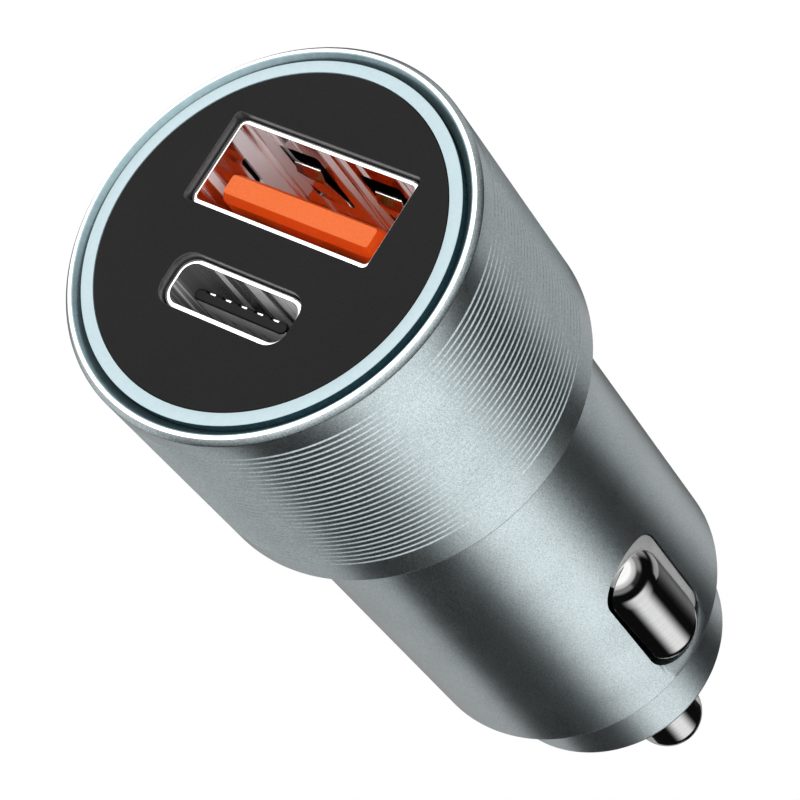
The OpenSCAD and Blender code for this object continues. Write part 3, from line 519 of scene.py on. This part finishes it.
def make_housing():
    rim_edge = RIM_IN_R + RIM_EDGE_W
    outline = [(END_HOLE_R, BARREL_END), (BARREL_R, BARREL_END), (BARREL_R, 0), (HEAD_R, 0)]
    for i in range(GROOVES):
        outline += groove(GROOVE_START + i * GROOVE_PITCH)
    top = len(outline)
    outline += [(HEAD_R, HEAD_L - RIM_BEVEL_H), (RIM_OUT_R, HEAD_L), (rim_edge, HEAD_L),
                (RIM_IN_R, HEAD_L), (SEAT_R, HEAD_L - CHANNEL_DEPTH), (SEAT_R, HEAD_L - RING_H),
                (HEAD_BORE_R, HEAD_L - RING_H), (HEAD_BORE_R, STEP_Z), (BARREL_BORE_R, STEP_Z),
                (BARREL_BORE_R, BARREL_END + END_WALL), (END_HOLE_R, BARREL_END + END_WALL)]
    rounds = [(1, 0.16, 3), (2, 0.06, 2), (3, 0.2, 6), (top, 0.05, 2), (top + 1, 0.03, 2),
              (top + 3, 0.03, 2)]
    windows = [slot_prism(WINDOW_R, WINDOW_END_Z, WINDOW_TOP_Z, *(side * x for x in WINDOW_CUT_X))
               for side in (1, -1)]
    solid = cut(turned(outline, rounds, steps=256), windows)
    soften(solid, 0.07, where=on_window_edge)
    piece = keep(solid, "turned_housing", blasted_metal, "body", "turned_metal", "housing")
    paint(piece, cut_channel,
          lambda spot, normal: spot.z > HEAD_L - RING_H and from_axis(spot) < rim_edge)
    paint(piece, cut_rim, lambda spot, normal: spot.z > HEAD_L - SKIN and from_axis(spot) > rim_edge)


def make_nose():
    thread_r = END_HOLE_R - THREAD_GAP
    outline = [(NOSE_HOLE_R, NOSE_END), (NOSE_R, NOSE_END), (NOSE_R, BARREL_END - END_GAP),
               (thread_r, BARREL_END - END_GAP), (thread_r, BARREL_END + END_WALL),
               (NOSE_BORE_R, BARREL_END + END_WALL), (NOSE_BORE_R, NOSE_END + NOSE_FLOOR),
               (NOSE_HOLE_R, NOSE_END + NOSE_FLOOR)]
    solid = turned(outline, [(1, 0.5, 5), (2, 0.05, 2), (0, 0.12, 2)])
    keep(solid, "turned_nose_cap", blasted_metal, "body", "turned_metal", "nose_cap")


def make_cone():
    neck_r = NOSE_HOLE_R - THREAD_GAP
    outline = [(NECK_BORE_R, NECK_TOP_Z), (neck_r, NECK_TOP_Z), (neck_r, NOSE_END), (CONE_R, NOSE_END),
               (CONE_SMALL_R, CONE_END + CONE_LIP), (CONE_SMALL_R - CONE_LIP, CONE_END),
               (TIP_HOLE_R, CONE_END), (TIP_HOLE_R, TIP_ROOM_Z), (NECK_BORE_R, TIP_ROOM_Z)]
    solid = turned(outline, [(3, 0.15, 3), (4, 0.2, 3), (5, 0.12, 3), (6, 0.1, 2)], steps=160)
    keep(solid, "insulator_cone", cone_black, "body", "cone_plastic", "tip_insulator")


def make_tip():
    outline = [(0, TIP_END), (TIP_R, TIP_END), (TIP_R, COLLAR_LOW_Z), (COLLAR_R, COLLAR_LOW_Z),
               (COLLAR_R, COLLAR_TOP_Z), (STUB_R, COLLAR_TOP_Z), (STUB_R, STUB_TOP_Z), (0, STUB_TOP_Z)]
    rounds = [(1, TIP_R - HAIR, 20), (3, 0.1, 2), (4, 0.1, 2), (6, 0.25, 3)]
    solid = turned(outline, rounds, steps=128, closed=False)
    keep(solid, "domed_tip", plated, "tip", "plated_metal", "tip_contact")


make_housing()
make_nose()
make_cone()
make_tip()


# Face
PORT_GAP, PORT_CUT_Z, WIDE_HOLE_CORNER, PLATE_MARGIN = 0.08, (15.0, 18.0), 0.3, 0.2
EDGE_BAND, LEVEL = 0.06, 0.9
RING_LEG_ANGLES, RING_LEG_W = (200, 270, 340), 2.0
ARM_X, ARM_Z, ARM_L, ARM_T = 9.4, 14.98, 2.6, 1.3
POST_X, POST_Z, POST_T, POST_L = 8.8, 10.03, 0.8, 11.26


def make_face_plate():
    bm = bmesh.new()
    bmesh.ops.create_circle(bm, cap_ends=True, radius=PLATE_R * MM, segments=192)
    move(bm, bm.verts[:], z=HEAD_L - PLATE_T)
    raise_face(bm, bm.faces[:], z=PLATE_T)
    ports = [rounded_block(w + 2 * PORT_GAP, h + 2 * PORT_GAP, corner, *PORT_CUT_Z, y, segments)
             for w, h, corner, y, segments in ((WIDE_W, WIDE_H, WIDE_HOLE_CORNER, WIDE_Y, 4),
                                               (NARROW_W, NARROW_H, NARROW_CORNER, NARROW_Y, 8))]
    solid = cut(bm, ports)
    soften(solid, EDGE_BAND, segments=3, where=above(HEAD_L - SKIN))
    piece = keep(solid, "black_face_plate", face_black, "body", "face_plastic", "face_plate")
    # The hole walls painted lighter grey, as painted sheen
    paint(piece, lip_painted_sheen, lambda spot, normal: abs(normal.z) < LEVEL and spot.z > HEAD_L - PLATE_T
          and from_axis(spot) < PLATE_R - PLATE_MARGIN)


def make_light_ring():
    low = HEAD_L - RING_H
    outline = [(RING_IN_R, low), (RING_OUT_R, low), (RING_OUT_R, HEAD_L), (RING_IN_R, HEAD_L)]
    bm = turned(outline, [(2, 0.05, 3), (3, 0.02, 2)])
    for angle in RING_LEG_ANGLES:
        leg = block(bm, ARM_X, 0, ARM_Z, ARM_L, RING_LEG_W, ARM_T)
        leg += block(bm, POST_X, 0, POST_Z, POST_T, RING_LEG_W, POST_L)
        turn = Matrix.Rotation(math.radians(angle), 3, "Z")
        bmesh.ops.rotate(bm, verts=leg, cent=(0, 0, 0), matrix=turn)
    piece = keep(bm, "light_guide_ring", clear_ring, "body", "clear_plastic", "light_ring")
    # The ring's outer side painted dark teal, as painted shade in the channel
    paint(piece, ring_side_shade,
          lambda spot, normal: spot.z < HEAD_L - EDGE_BAND and from_axis(spot) > RING_OUT_R - SKIN)


make_face_plate()
make_light_ring()


# Socket shells
SHELL_EDGE, WIDE_CORNER = 0.05, 0.6
LATCH_X, LATCH_W, LATCH_L, LATCH_Z, LATCH_CORNER = 2.95, 2.9, 5.4, 10.1, 0.25
SLIT_Y, SLIT_Z, SLIT_W, SLIT_L, SLIT_CORNER, SLIT_CUT = 1.1, 13.8, 0.4, 2.6, 0.18, 2.0
FINGER_W, FINGER_L, FINGER_BEND, FINGER_ROOT, FINGER_FOOT = 1.9, 4.0, 0.45, 0.2, 0.4
FINGER_CURL, FINGER_CURL_L, FINGER_MARGIN = 0.12, 0.8, 0.1
WIDE_LEG_X, WIDE_LEG_Y, NARROW_LEG_X = 6.4, 1.65, 4.32
BOARD_LEG_W, BOARD_LEG_L, BOARD_LEG_DROP = 0.8, 1.64, 0.78


def sheet_tube(w, h, corner, y, segments):
    """A drawn or folded tube of sheet metal that stands on the socket board."""
    bm = rounded_plate(w, h, corner, segments)
    inner = bmesh.ops.inset_region(bm, faces=bm.faces[:], thickness=SHELL_T * MM, use_boundary=True)
    rim = set(inner["faces"])
    bmesh.ops.delete(bm, geom=[f for f in bm.faces if f not in rim], context="FACES_ONLY")
    move(bm, bm.verts[:], 0, y, BOARD_TOP_Z)
    raise_face(bm, bm.faces[:], z=SHELL_Z - BOARD_TOP_Z)
    return bm


def board_leg(bm, x, y):
    """Adds a leg that stands in the socket board."""
    block(bm, x, y, BOARD_TOP_Z - BOARD_LEG_DROP, SHELL_T, BOARD_LEG_W, BOARD_LEG_L)


def spring_finger(x, side):
    """A bent finger that grows from the inner end of a window."""
    inner = [(0, -FINGER_ROOT), (0, FINGER_FOOT), (-FINGER_BEND, FINGER_L - FINGER_CURL_L),
             (-FINGER_CURL, FINGER_L)]
    outer = [(y + SHELL_T, z) for y, z in reversed(inner)]
    wall = WIDE_H / 2 - SHELL_T
    bm = bmesh.new()
    path = [bm.verts.new(Vector((x - FINGER_W / 2, WIDE_Y + side * (wall + y), LATCH_Z + z)) * MM)
            for y, z in inner + outer]
    raise_face(bm, [bm.faces.new(path)], x=FINGER_W)
    across = along(0)
    bent_z = (LATCH_Z, LATCH_Z + FINGER_L - FINGER_CURL_L / 2)
    soften(bm, 0.25, angle=8.0, segments=4,
           where=lambda edge: across(edge) and bent_z[0] < edge.verts[0].co.z / MM < bent_z[1])
    soften(bm, 0.05, angle=60.0)
    return bm


def on_finger(spot, normal):
    return (abs(abs(spot.x) - LATCH_X) < FINGER_W / 2 + SKIN
            and LATCH_Z - FINGER_ROOT - FINGER_MARGIN < spot.z < LATCH_Z + FINGER_L + FINGER_MARGIN)


def make_wide_shell():
    tools = []
    for x in (-1, 1):
        window = box(x * LATCH_X, WIDE_Y, LATCH_Z + LATCH_L / 2, LATCH_W, 2 * WIDE_H, LATCH_L)
        soften(window, LATCH_CORNER, segments=3, where=along(1))
        slit = box(x * WIDE_W / 2, WIDE_Y + SLIT_Y, SLIT_Z, SLIT_CUT, SLIT_W, SLIT_L)
        soften(slit, SLIT_CORNER, segments=3, where=along(0))
        tools += [window, slit]
    tube = cut(sheet_tube(WIDE_W, WIDE_H, WIDE_CORNER, WIDE_Y, 5), tools)
    soften(tube, SHELL_EDGE, where=above(SHELL_Z - SKIN))
    for x in (-1, 1):
        for side in (-1, 1):
            join(tube, spring_finger(x * LATCH_X, side))
            board_leg(tube, x * WIDE_LEG_X, WIDE_Y + side * WIDE_LEG_Y)
    piece = keep(tube, "folded_wide_shell", nickel_sheet, "body", "shell_metal", "wide_shell")
    # The inside walls, whose bright streaks are painted reflection
    paint(piece, wide_walls, lambda spot, normal: spot.z < SHELL_Z - EDGE_BAND)
    paint(piece, nickel_sheet, on_finger)


def make_narrow_shell():
    tube = sheet_tube(NARROW_W, NARROW_H, NARROW_CORNER, NARROW_Y, 10)
    soften(tube, SHELL_EDGE, where=above(SHELL_Z - SKIN))
    for x in (-1, 1):
        board_leg(tube, x * NARROW_LEG_X, NARROW_Y)
    piece = keep(tube, "drawn_narrow_shell", nickel_sheet, "body", "shell_metal", "narrow_shell")
    # The inside walls, whose bright streaks are painted reflection
    paint(piece, narrow_walls, lambda spot, normal: spot.z < SHELL_Z - EDGE_BAND)


make_wide_shell()
make_narrow_shell()


# Tongue and contacts of the wide socket, each SIZE as width, depth and length
WIDE_BASE_W, WIDE_BASE_H, WIDE_BASE_CORNER, WIDE_BASE_TOP_Z = 12.42, 5.02, 0.3, 8.5
TONGUE_Y, TONGUE_W, TONGUE_T, TONGUE_CORNER, TONGUE_FRONT = 2.46, 11.1, 1.84, 0.5, 16.3
BEVEL_W, BEVEL_L, BEVEL_MARGIN = 0.32, 0.6, 0.05
PIN_X, PIN_Y, PIN_Z, PIN_SIZE = (-3.5, -1.0, 1.0, 3.5), 3.27, 9.3, (1.0, 0.2, 11.4)
PIN_SLOT_Y, PIN_SLOT_Z, PIN_SLOT_SIZE = 3.67, 11.25, (1.08, 1.0, 7.6)
TAIL_Z, TAIL_SIZE = 2.8, (0.6, 0.2, 1.62)


def make_wide_tongue():
    base = rounded_block(WIDE_BASE_W, WIDE_BASE_H, WIDE_BASE_CORNER, BOARD_TOP_Z, WIDE_BASE_TOP_Z,
                         WIDE_Y, segments=3)
    tongue = rounded_plate(TONGUE_W, TONGUE_T, TONGUE_CORNER)
    move(tongue, tongue.verts[:], 0, TONGUE_Y, BOARD_TOP_Z)
    made = raise_face(tongue, tongue.faces[:], z=TONGUE_FRONT - BEVEL_L - BOARD_TOP_Z)
    front = [f for f in made if isinstance(f, bmesh.types.BMFace)]
    bmesh.ops.recalc_face_normals(tongue, faces=tongue.faces)
    bmesh.ops.inset_region(tongue, faces=front, thickness=BEVEL_W * MM, use_boundary=True,
                           use_even_offset=True)
    move(tongue, front[0].verts[:], z=BEVEL_L)
    soften(tongue, 0.03, angle=20.0, where=above(TONGUE_FRONT - BEVEL_L - BEVEL_MARGIN))
    slots = [box(x, PIN_SLOT_Y, PIN_SLOT_Z, *PIN_SLOT_SIZE) for x in PIN_X]
    solid = cut(cut(tongue, [base], "UNION"), slots)
    piece = keep(solid, "orange_tongue", orange, "body", "orange_plastic", "wide_tongue", sharp=20.0)
    # The front face painted in the lit orange, as painted light
    paint(piece, orange_lit_front, lambda spot, normal: spot.z > TONGUE_FRONT - SKIN)


def make_wide_contacts():
    bm = bmesh.new()
    for x in PIN_X:
        block(bm, x, PIN_Y, PIN_Z, *PIN_SIZE)
        block(bm, x, PIN_Y, TAIL_Z, *TAIL_SIZE)
    soften(bm, 0.05, angle=60.0)
    keep(bm, "flat_contacts", gold, "body", "pad_metal", "wide_contacts")


make_wide_tongue()
make_wide_contacts()


# Tongue and pads of the narrow socket
NARROW_FRONT, NARROW_BASE_TOP_Z = HEAD_L - 1.4, 10.3
NARROW_TONGUE_W, NARROW_TONGUE_T, NARROW_TONGUE_CORNER = 6.69, 0.7, 0.34
NARROW_BASE_W, NARROW_BASE_T, NARROW_BASE_CORNER = 8.26, 2.48, 0.8
PAD_SLOT_Y, PAD_SLOT_Z, PAD_SLOT_W, PAD_SLOT_T, PAD_SLOT_L = 0.69, 13.1, 0.66, 1.0, 7.6
PADS, PAD_PITCH, PAD_Y, PAD_Z, PAD_W, PAD_T, PAD_L = 5, 1.16, 0.29, 12.545, 0.42, 0.12, 6.41
PAD_SIDES = ((1, 0.0), (-1, 2.4))     # side of the tongue, how far its pads stand back
PLACES = [((i - (PADS - 1) / 2) * PAD_PITCH, side, back) for i in range(PADS) for side, back in PAD_SIDES]
SIDE_MARGIN, FRONT_MARGIN = 0.1, 0.15


def make_narrow_tongue():
    tongue = rounded_block(NARROW_TONGUE_W, NARROW_TONGUE_T, NARROW_TONGUE_CORNER, BOARD_TOP_Z,
                           NARROW_FRONT, NARROW_Y)
    base = rounded_block(NARROW_BASE_W, NARROW_BASE_T, NARROW_BASE_CORNER, BOARD_TOP_Z,
                         NARROW_BASE_TOP_Z, NARROW_Y)
    solid = cut(tongue, [base], "UNION")
    soften(solid, 0.12, segments=4, where=above(NARROW_FRONT - SKIN))
    slots = [box(x, NARROW_Y + side * PAD_SLOT_Y, PAD_SLOT_Z - back / 2,
                 PAD_SLOT_W, PAD_SLOT_T, PAD_SLOT_L - back) for x, side, back in PLACES]
    piece = keep(cut(solid, slots), "black_tongue", tongue_black, "body", "black_plastic", "narrow_tongue")
    # The tongue's lower side painted lighter grey, as painted light
    paint(piece, tongue_lit_side,
          lambda spot, normal: spot.y < NARROW_Y - SIDE_MARGIN and spot.z < NARROW_FRONT - FRONT_MARGIN)


def make_narrow_contacts():
    bm = bmesh.new()
    for x, side, back in PLACES:
        block(bm, x, NARROW_Y + side * PAD_Y, PAD_Z - back / 2, PAD_W, PAD_T, PAD_L - back)
    soften(bm, 0.03, angle=60.0)
    keep(bm, "contact_pads", pad_metal, "body", "pad_metal", "narrow_contacts")


make_narrow_tongue()
make_narrow_contacts()


# Side contacts, with the play that the photograph shows in the dome's shift and lean
FLANGE_CORNER, SHELF_GAP, SHELF_DROP, SHELF_SLOPE, SHELF_EDGE = 1.0, 0.1, 0.04, 0.5, 0.1
SHELF_X = math.sqrt(BARREL_R ** 2 - WINDOW_R ** 2) - SHELF_DROP
DOME_SHIFT, DOME_LEAN, DOME_MARGIN = 0.13, 0.2, 0.13
DOME_HALF = BULGE_L / 2 - BULGE_R
SHELF_EXTRA = WINDOW_TOP_Z - WINDOW_R - CONTACT_Z - DOME_HALF
FOOT_FILLET, HOLLOW_FILLET, BASE_DEPTH, HOLLOW_DEPTH = 0.15, 0.02, 0.2, 0.5
SATIN_X, LOW_SHELF_X, FLANK_X = SHELF_X + 0.09, SHELF_X - 0.05, SHELF_X + 0.02
LOW_SIDE_Y, FLANK_Y, FLANK_TURN, FLANK_HALF = -0.8, 0.4, 0.26, 3.0
# Heights that bound the painted shade on the side contacts
SHADE_TOP_Z, SHADE_END_Z = CONTACT_Z + 5.3, CONTACT_Z - 4.8


def sweep(bm, start, x, z, angle, steps):
    """Carries a point round a centre in the plane y = 0 and gives the arc's last point."""
    made = bmesh.ops.spin(bm, geom=[start], cent=(x * MM, 0, z * MM), axis=(0, -1, 0), angle=angle,
                          steps=steps)
    return next(v for v in made["geom_last"] if isinstance(v, bmesh.types.BMVert))


def round_form(dome_r, shelf_x, slot_r, fillet, base_x, reach, turn):
    """A round dome on a round shelf, in two halves that meet at z = 0; the upper half is tagged."""
    bm = bmesh.new()
    crest = bm.verts.new(((BULGE_X + dome_r) * MM, 0, 0))
    foot = sweep(bm, crest, BULGE_X, 0, turn, 28)
    foot = sweep(bm, foot, shelf_x + fillet, reach, -turn, 6)
    outline = ((shelf_x, slot_r - SHELF_EDGE), (shelf_x - 0.3 * SHELF_EDGE, slot_r - 0.3 * SHELF_EDGE),
               (shelf_x - SHELF_EDGE, slot_r), (base_x, slot_r), (base_x, 0))
    outer = [bm.verts.new((x * MM, 0, z * MM)) for x, z in outline]
    for a, b in zip([foot] + outer, outer):
        bm.edges.new((a, b))
    bmesh.ops.spin(bm, geom=bm.verts[:] + bm.edges[:], cent=(0, 0, 0), axis=(1, 0, 0), angle=math.tau,
                   steps=96, use_merge=True)
    bmesh.ops.remove_doubles(bm, verts=bm.verts, dist=MERGE * MM)
    seam = [e for e in bm.edges if all(abs(v.co.z) < 0.1 * MERGE * MM for v in e.verts)]
    bmesh.ops.split_edges(bm, edges=seam)
    for face in bm.faces:
        for v in face.verts:
            v.tag = face.calc_center_median().z > 0
    return bm


def lean(v, slot_r):
    """Shifts a point of the dome to one side, more towards the top, within the window's outline."""
    rise = (v.co.z / MM + DOME_HALF + slot_r) / (2 * DOME_HALF + 2 * slot_r)
    v.co.y -= (DOME_SHIFT + DOME_LEAN * rise) * MM
    middle = max(-DOME_HALF, min(DOME_HALF + SHELF_EXTRA, v.co.z / MM)) * MM
    outward = math.hypot(v.co.y, v.co.z - middle) / (slot_r - DOME_MARGIN) / MM
    if outward > 1:
        v.co.y, v.co.z = v.co.y / outward, middle + (v.co.z - middle) / outward


def pressed_form(dome_r, shelf_x, slot_r, fillet, base_x):
    """A long dome on a flat shelf with round ends, closed at the plane x = base_x."""
    lift = shelf_x + fillet - BULGE_X
    reach = math.sqrt((dome_r + fillet) ** 2 - lift ** 2)
    turn = math.atan2(reach, lift)
    bm = round_form(dome_r, shelf_x, slot_r, fillet, base_x, reach, turn)
    foot_r = dome_r * math.sin(turn) + 5 * HAIR
    for v in bm.verts:
        distance = math.hypot(v.co.y, v.co.z) / MM
        on_shelf = distance > reach + SKIN
        over_base = v.co.x > (base_x + HAIR) * MM
        v.co.z += (DOME_HALF + (SHELF_EXTRA if on_shelf else 0) if v.tag else -DOME_HALF) * MM
        if over_base and not on_shelf:
            lean(v, slot_r)
        if over_base and distance > foot_r:
            v.co.x -= SHELF_SLOPE * max(0.0, -v.co.y / MM / slot_r) * MM
    bmesh.ops.bridge_loops(bm, edges=[e for e in bm.edges if e.is_boundary])
    bmesh.ops.recalc_face_normals(bm, faces=bm.faces)
    move(bm, bm.verts[:], z=CONTACT_Z)
    return bm


def side_flange():
    """The flat rim that holds a side contact in the barrel."""
    low = CONTACT_Z - BULGE_L / 2
    flange = rounded_plate(FLANGE_TOP_Z - low, 2 * FLANGE_HALF, FLANGE_CORNER)
    tilt(flange, math.pi / 2, "Y")
    move(flange, flange.verts[:], FLANGE_X - SHEET_T, 0, (FLANGE_TOP_Z + low) / 2)
    raise_face(flange, flange.faces[:], x=SHEET_T)
    return flange


def make_side_contact(side, name, node, body):
    """A flange inside the barrel, a shelf that fills the window and a long dome on it."""
    slot_r = WINDOW_R - SHELF_GAP
    outside = pressed_form(BULGE_R, SHELF_X, slot_r, FOOT_FILLET, FLANGE_X - BASE_DEPTH)
    hollow = pressed_form(BULGE_R - SHEET_T, SHELF_X - SHEET_T, slot_r - SHEET_T, HOLLOW_FILLET,
                          FLANGE_X - SHEET_T - HOLLOW_DEPTH)
    solid = cut(cut(side_flange(), [outside], "UNION"), [hollow])
    if side < 0:
        tilt(solid, math.pi, "Z")
    piece = keep(solid, name, plated, body, "plated_metal", node, sharp=40.0)

    # Faces painted near-black: painted shade in the window's gap on the low side and at the lower end, and a
    # painted dark reflection on one flank
    def is_painted_shade(spot, normal):
        x, y, z = side * spot.x, side * spot.y, spot.z
        low_side = x < LOW_SHELF_X and y < LOW_SIDE_Y and z < SHADE_TOP_Z
        lower_end = x < SATIN_X and z < SHADE_END_Z
        flank = (x > FLANK_X and y > FLANK_Y and side * normal.y > FLANK_TURN
                 and abs(z - CONTACT_Z) < FLANK_HALF)
        return low_side or lower_end or flank

    paint(piece, satin_plate, lambda spot, normal: side * spot.x < SATIN_X)
    paint(piece, shade_painted_plate, is_painted_shade)


make_side_contact(1, "right_side_contact", "side_contact_right", "right_contact")
make_side_contact(-1, "left_side_contact", "side_contact_left", "left_contact")


# Springs
SIDE_SPRING_X, SIDE_SPRING_R, SIDE_WIRE, SIDE_SPRING_L, SIDE_TURNS, SIDE_TRAVEL = 4.5, 1.2, 0.3, 5.88, 7, 1.3
TIP_SPRING_Z, TIP_SPRING_R, TIP_WIRE, TIP_SPRING_L, TIP_TURNS, TIP_TRAVEL = -40.6, 2.7, 0.5, 9.95, 8, 3.0
COIL_STEPS, CLOSED_PITCH = 24, 1.06


def coil(radius, wire, length, turns):
    """A compression spring along +Z from height 0, with its first and last turn closed."""
    bm = bmesh.new()
    bmesh.ops.create_circle(bm, cap_ends=True, radius=wire / 2 * MM, segments=8)
    tilt(bm, math.pi / 2, "X")
    move(bm, bm.verts[:], x=radius, z=wire / 2)
    closed = wire * CLOSED_PITCH
    opened = (length - wire - 2 * closed) / (turns - 2)
    geom = bm.verts[:] + bm.edges[:] + bm.faces[:]
    for count, rise in ((1, closed), (turns - 2, opened), (1, closed)):
        made = bmesh.ops.spin(bm, geom=geom, cent=(0, 0, 0), axis=(0, 0, 1), angle=math.tau * count,
                              dvec=(0, 0, rise / COIL_STEPS * MM), steps=COIL_STEPS * count)
        geom = made["geom_last"]
    return bm


def make_side_spring(side, name, node):
    bm = coil(SIDE_SPRING_R, SIDE_WIRE, SIDE_SPRING_L, SIDE_TURNS)
    tilt(bm, side * math.pi / 2, "Y")
    move(bm, bm.verts[:], x=side * SIDE_SPRING_X, z=CONTACT_Z)
    piece = keep(bm, name, wire_steel, "body", "spring_steel", node, sharp=60.0)
    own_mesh(piece)


def make_tip_spring():
    bm = coil(TIP_SPRING_R, TIP_WIRE, TIP_SPRING_L, TIP_TURNS)
    move(bm, bm.verts[:], z=TIP_SPRING_Z)
    piece = keep(bm, "coiled_tip_spring", wire_steel, "body", "spring_steel", "tip_spring", sharp=60.0)
    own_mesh(piece)


make_side_spring(1, "coiled_right_spring", "side_spring_right")
make_side_spring(-1, "coiled_left_spring", "side_spring_left")
make_tip_spring()


# Pieces kept from the CAD model
KEPT = {
    carrier_black: ["carrier"],
    board_green: ["socket_board", "main_board"],
    gold: ["header_pins", "ground_pin_right", "ground_pin_left", "tip_terminal"],
    can_blue: ["capacitor_in", "capacitor_out"],
    ferrite: ["inductor_core"],
    copper: ["inductor_winding"],
    chip_black: ["power_chip", "control_chip"],
    chip_clay: ["fuse", "chip_capacitors"],
    lamp_cream: ["indicator_lights"],
}
for material, names in KEPT.items():
    for name in names:
        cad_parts[name].data.materials.clear()
        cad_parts[name].data.materials.append(material)


# Studio
FLOOR_R, FLOOR_Z = 4000.0, -160.0
STUDIO_TURN = 19


def make_floor():
    bm = bmesh.new()
    bmesh.ops.create_circle(bm, cap_ends=True, radius=FLOOR_R * MM, segments=96)
    move(bm, bm.verts[:], z=FLOOR_Z)
    mesh = bpy.data.meshes.new("floor")
    bm.to_mesh(mesh)
    bm.free()
    floor = bpy.data.objects.new("floor", mesh)
    bpy.context.scene.collection.objects.link(floor)
    pale = bpy.data.materials.new("pale_floor")
    pale.use_nodes = True
    n = Nodes(pale.node_tree)
    shader = pale.node_tree.nodes["Principled BSDF"]
    noise = n.add("TexNoise")
    noise.inputs["Scale"].default_value = 3.0
    n.link(n.add("TexCoord").outputs["Object"], noise.inputs["Vector"])
    tone = n.mix(noise.outputs["Fac"], (0.975, 0.975, 0.975), (0.99, 0.99, 0.99))
    n.link(tone, shader.inputs["Base Color"])
    shader.inputs["Roughness"].default_value = 0.9
    mesh.materials.append(pale)
    floor.visible_glossy = False


def studio_light(n):
    """What the metal mirrors: a soft strip, two panels, a horizon and a ceiling, with dark between.

    Angles are in degrees. Azimuth 0 lies on the camera's side, and height is up from the horizon.
    """
    def fade(angle, start, end, low=0.0, high=1.0):
        return n.ramp(angle, math.radians(start), math.radians(end), low, high)

    def product(first, *others):
        for other in others:
            first = n.math("MULTIPLY", first, other)
        return first

    turn = n.add("Mapping", vector_type="POINT")
    turn.inputs["Rotation"].default_value = (0, 0, math.radians(STUDIO_TURN))
    n.link(n.add("TexCoord").outputs["Generated"], turn.inputs["Vector"])
    way = n.add("SeparateXYZ")
    n.link(turn.outputs["Vector"], way.inputs["Vector"])
    azimuth = n.math("ARCTAN2", way.outputs["Y"], way.outputs["X"])
    side = n.math("ABSOLUTE", azimuth)
    height = n.math("ARCSINE", way.outputs["Z"])

    strip = product(fade(side, 48, 9), fade(height, -12, -22), fade(height, -74, -66))

    right_edge = fade(height, -56, -50, math.radians(87), math.radians(70))
    left_edge = fade(height, -56, -50, math.radians(96), math.radians(84))
    right_panel = fade(n.math("SUBTRACT", azimuth, right_edge), -4, 4)
    left_panel = fade(n.math("ADD", azimuth, left_edge), 3.5, -3.5)
    low_edge = fade(side, 106, 126, math.radians(-58.5), math.radians(-85))
    behind = n.math("MAXIMUM", fade(azimuth, 132, 142), fade(azimuth, -162, -170))
    panels = product(n.math("ADD", right_panel, left_panel),
                     fade(n.math("SUBTRACT", height, low_edge), -2, 2), fade(height, -26, -40),
                     fade(azimuth, -165, -105, 0.6, 1.0), n.math("MULTIPLY_ADD", behind, -0.9, 1.0))

    horizon = product(fade(side, 90, 110), fade(height, -24, -12), fade(azimuth, -60, 60, 1.1, 0.7))

    low_top = product(fade(height, 8, 18), n.math("MAXIMUM", fade(side, 45, 65, 0.06, 0.60),
                                                  fade(azimuth, 14, -2, 0.0, 0.5)))
    flank = product(fade(height, 5, 13), fade(azimuth, 86, 100, 0.0, 0.95))
    ceiling = n.math("MAXIMUM", fade(height, 22, 34, 0.0, 1.5), n.math("MAXIMUM", low_top, flank))
    zenith = fade(height, 36, 48, 0.0, 1.2)

    light = n.math("MULTIPLY_ADD", strip, 1.90, 0.009)
    light = n.math("MULTIPLY_ADD", panels, 0.70, light)
    return n.math("ADD", n.math("ADD", n.math("MAXIMUM", ceiling, horizon), zenith), light)


def make_world():
    """White for the camera, an even light on matt surfaces, and the studio for mirrored rays."""
    world = bpy.data.worlds.new("studio")
    bpy.context.scene.world = world
    world.use_nodes = True
    n = Nodes(world.node_tree)
    back = world.node_tree.nodes["Background"]
    ways = n.add("LightPath")
    mirrored = n.math("MAXIMUM", ways.outputs["Is Glossy Ray"], ways.outputs["Is Transmission Ray"])
    plain = n.math("MULTIPLY_ADD", ways.outputs["Is Camera Ray"], 0.38, 0.62)
    total = n.add("Mix", data_type="FLOAT")
    n.link(mirrored, total.inputs[0])
    n.link(plain, total.inputs[2])
    n.link(studio_light(n), total.inputs[3])
    n.link(total.outputs[0], back.inputs["Strength"])
    back.inputs["Color"].default_value = (1, 1, 1, 1)


def soft_sun(name, direction, spread, strength):
    data = bpy.data.lights.new(name, "SUN")
    data.angle, data.energy = math.radians(spread), strength
    lamp = bpy.data.objects.new(name, data)
    bpy.context.scene.collection.objects.link(lamp)
    lamp.rotation_mode = "QUATERNION"
    lamp.rotation_quaternion = Vector(direction).to_track_quat("Z", "Y")
    lamp.visible_glossy = False
    lamp.visible_camera = False


make_floor()
make_world()
soft_sun("key_lamp", (0.45, -0.35, 1.0), 50, 1.5)
bpy.context.scene.view_settings.view_transform = "Standard"
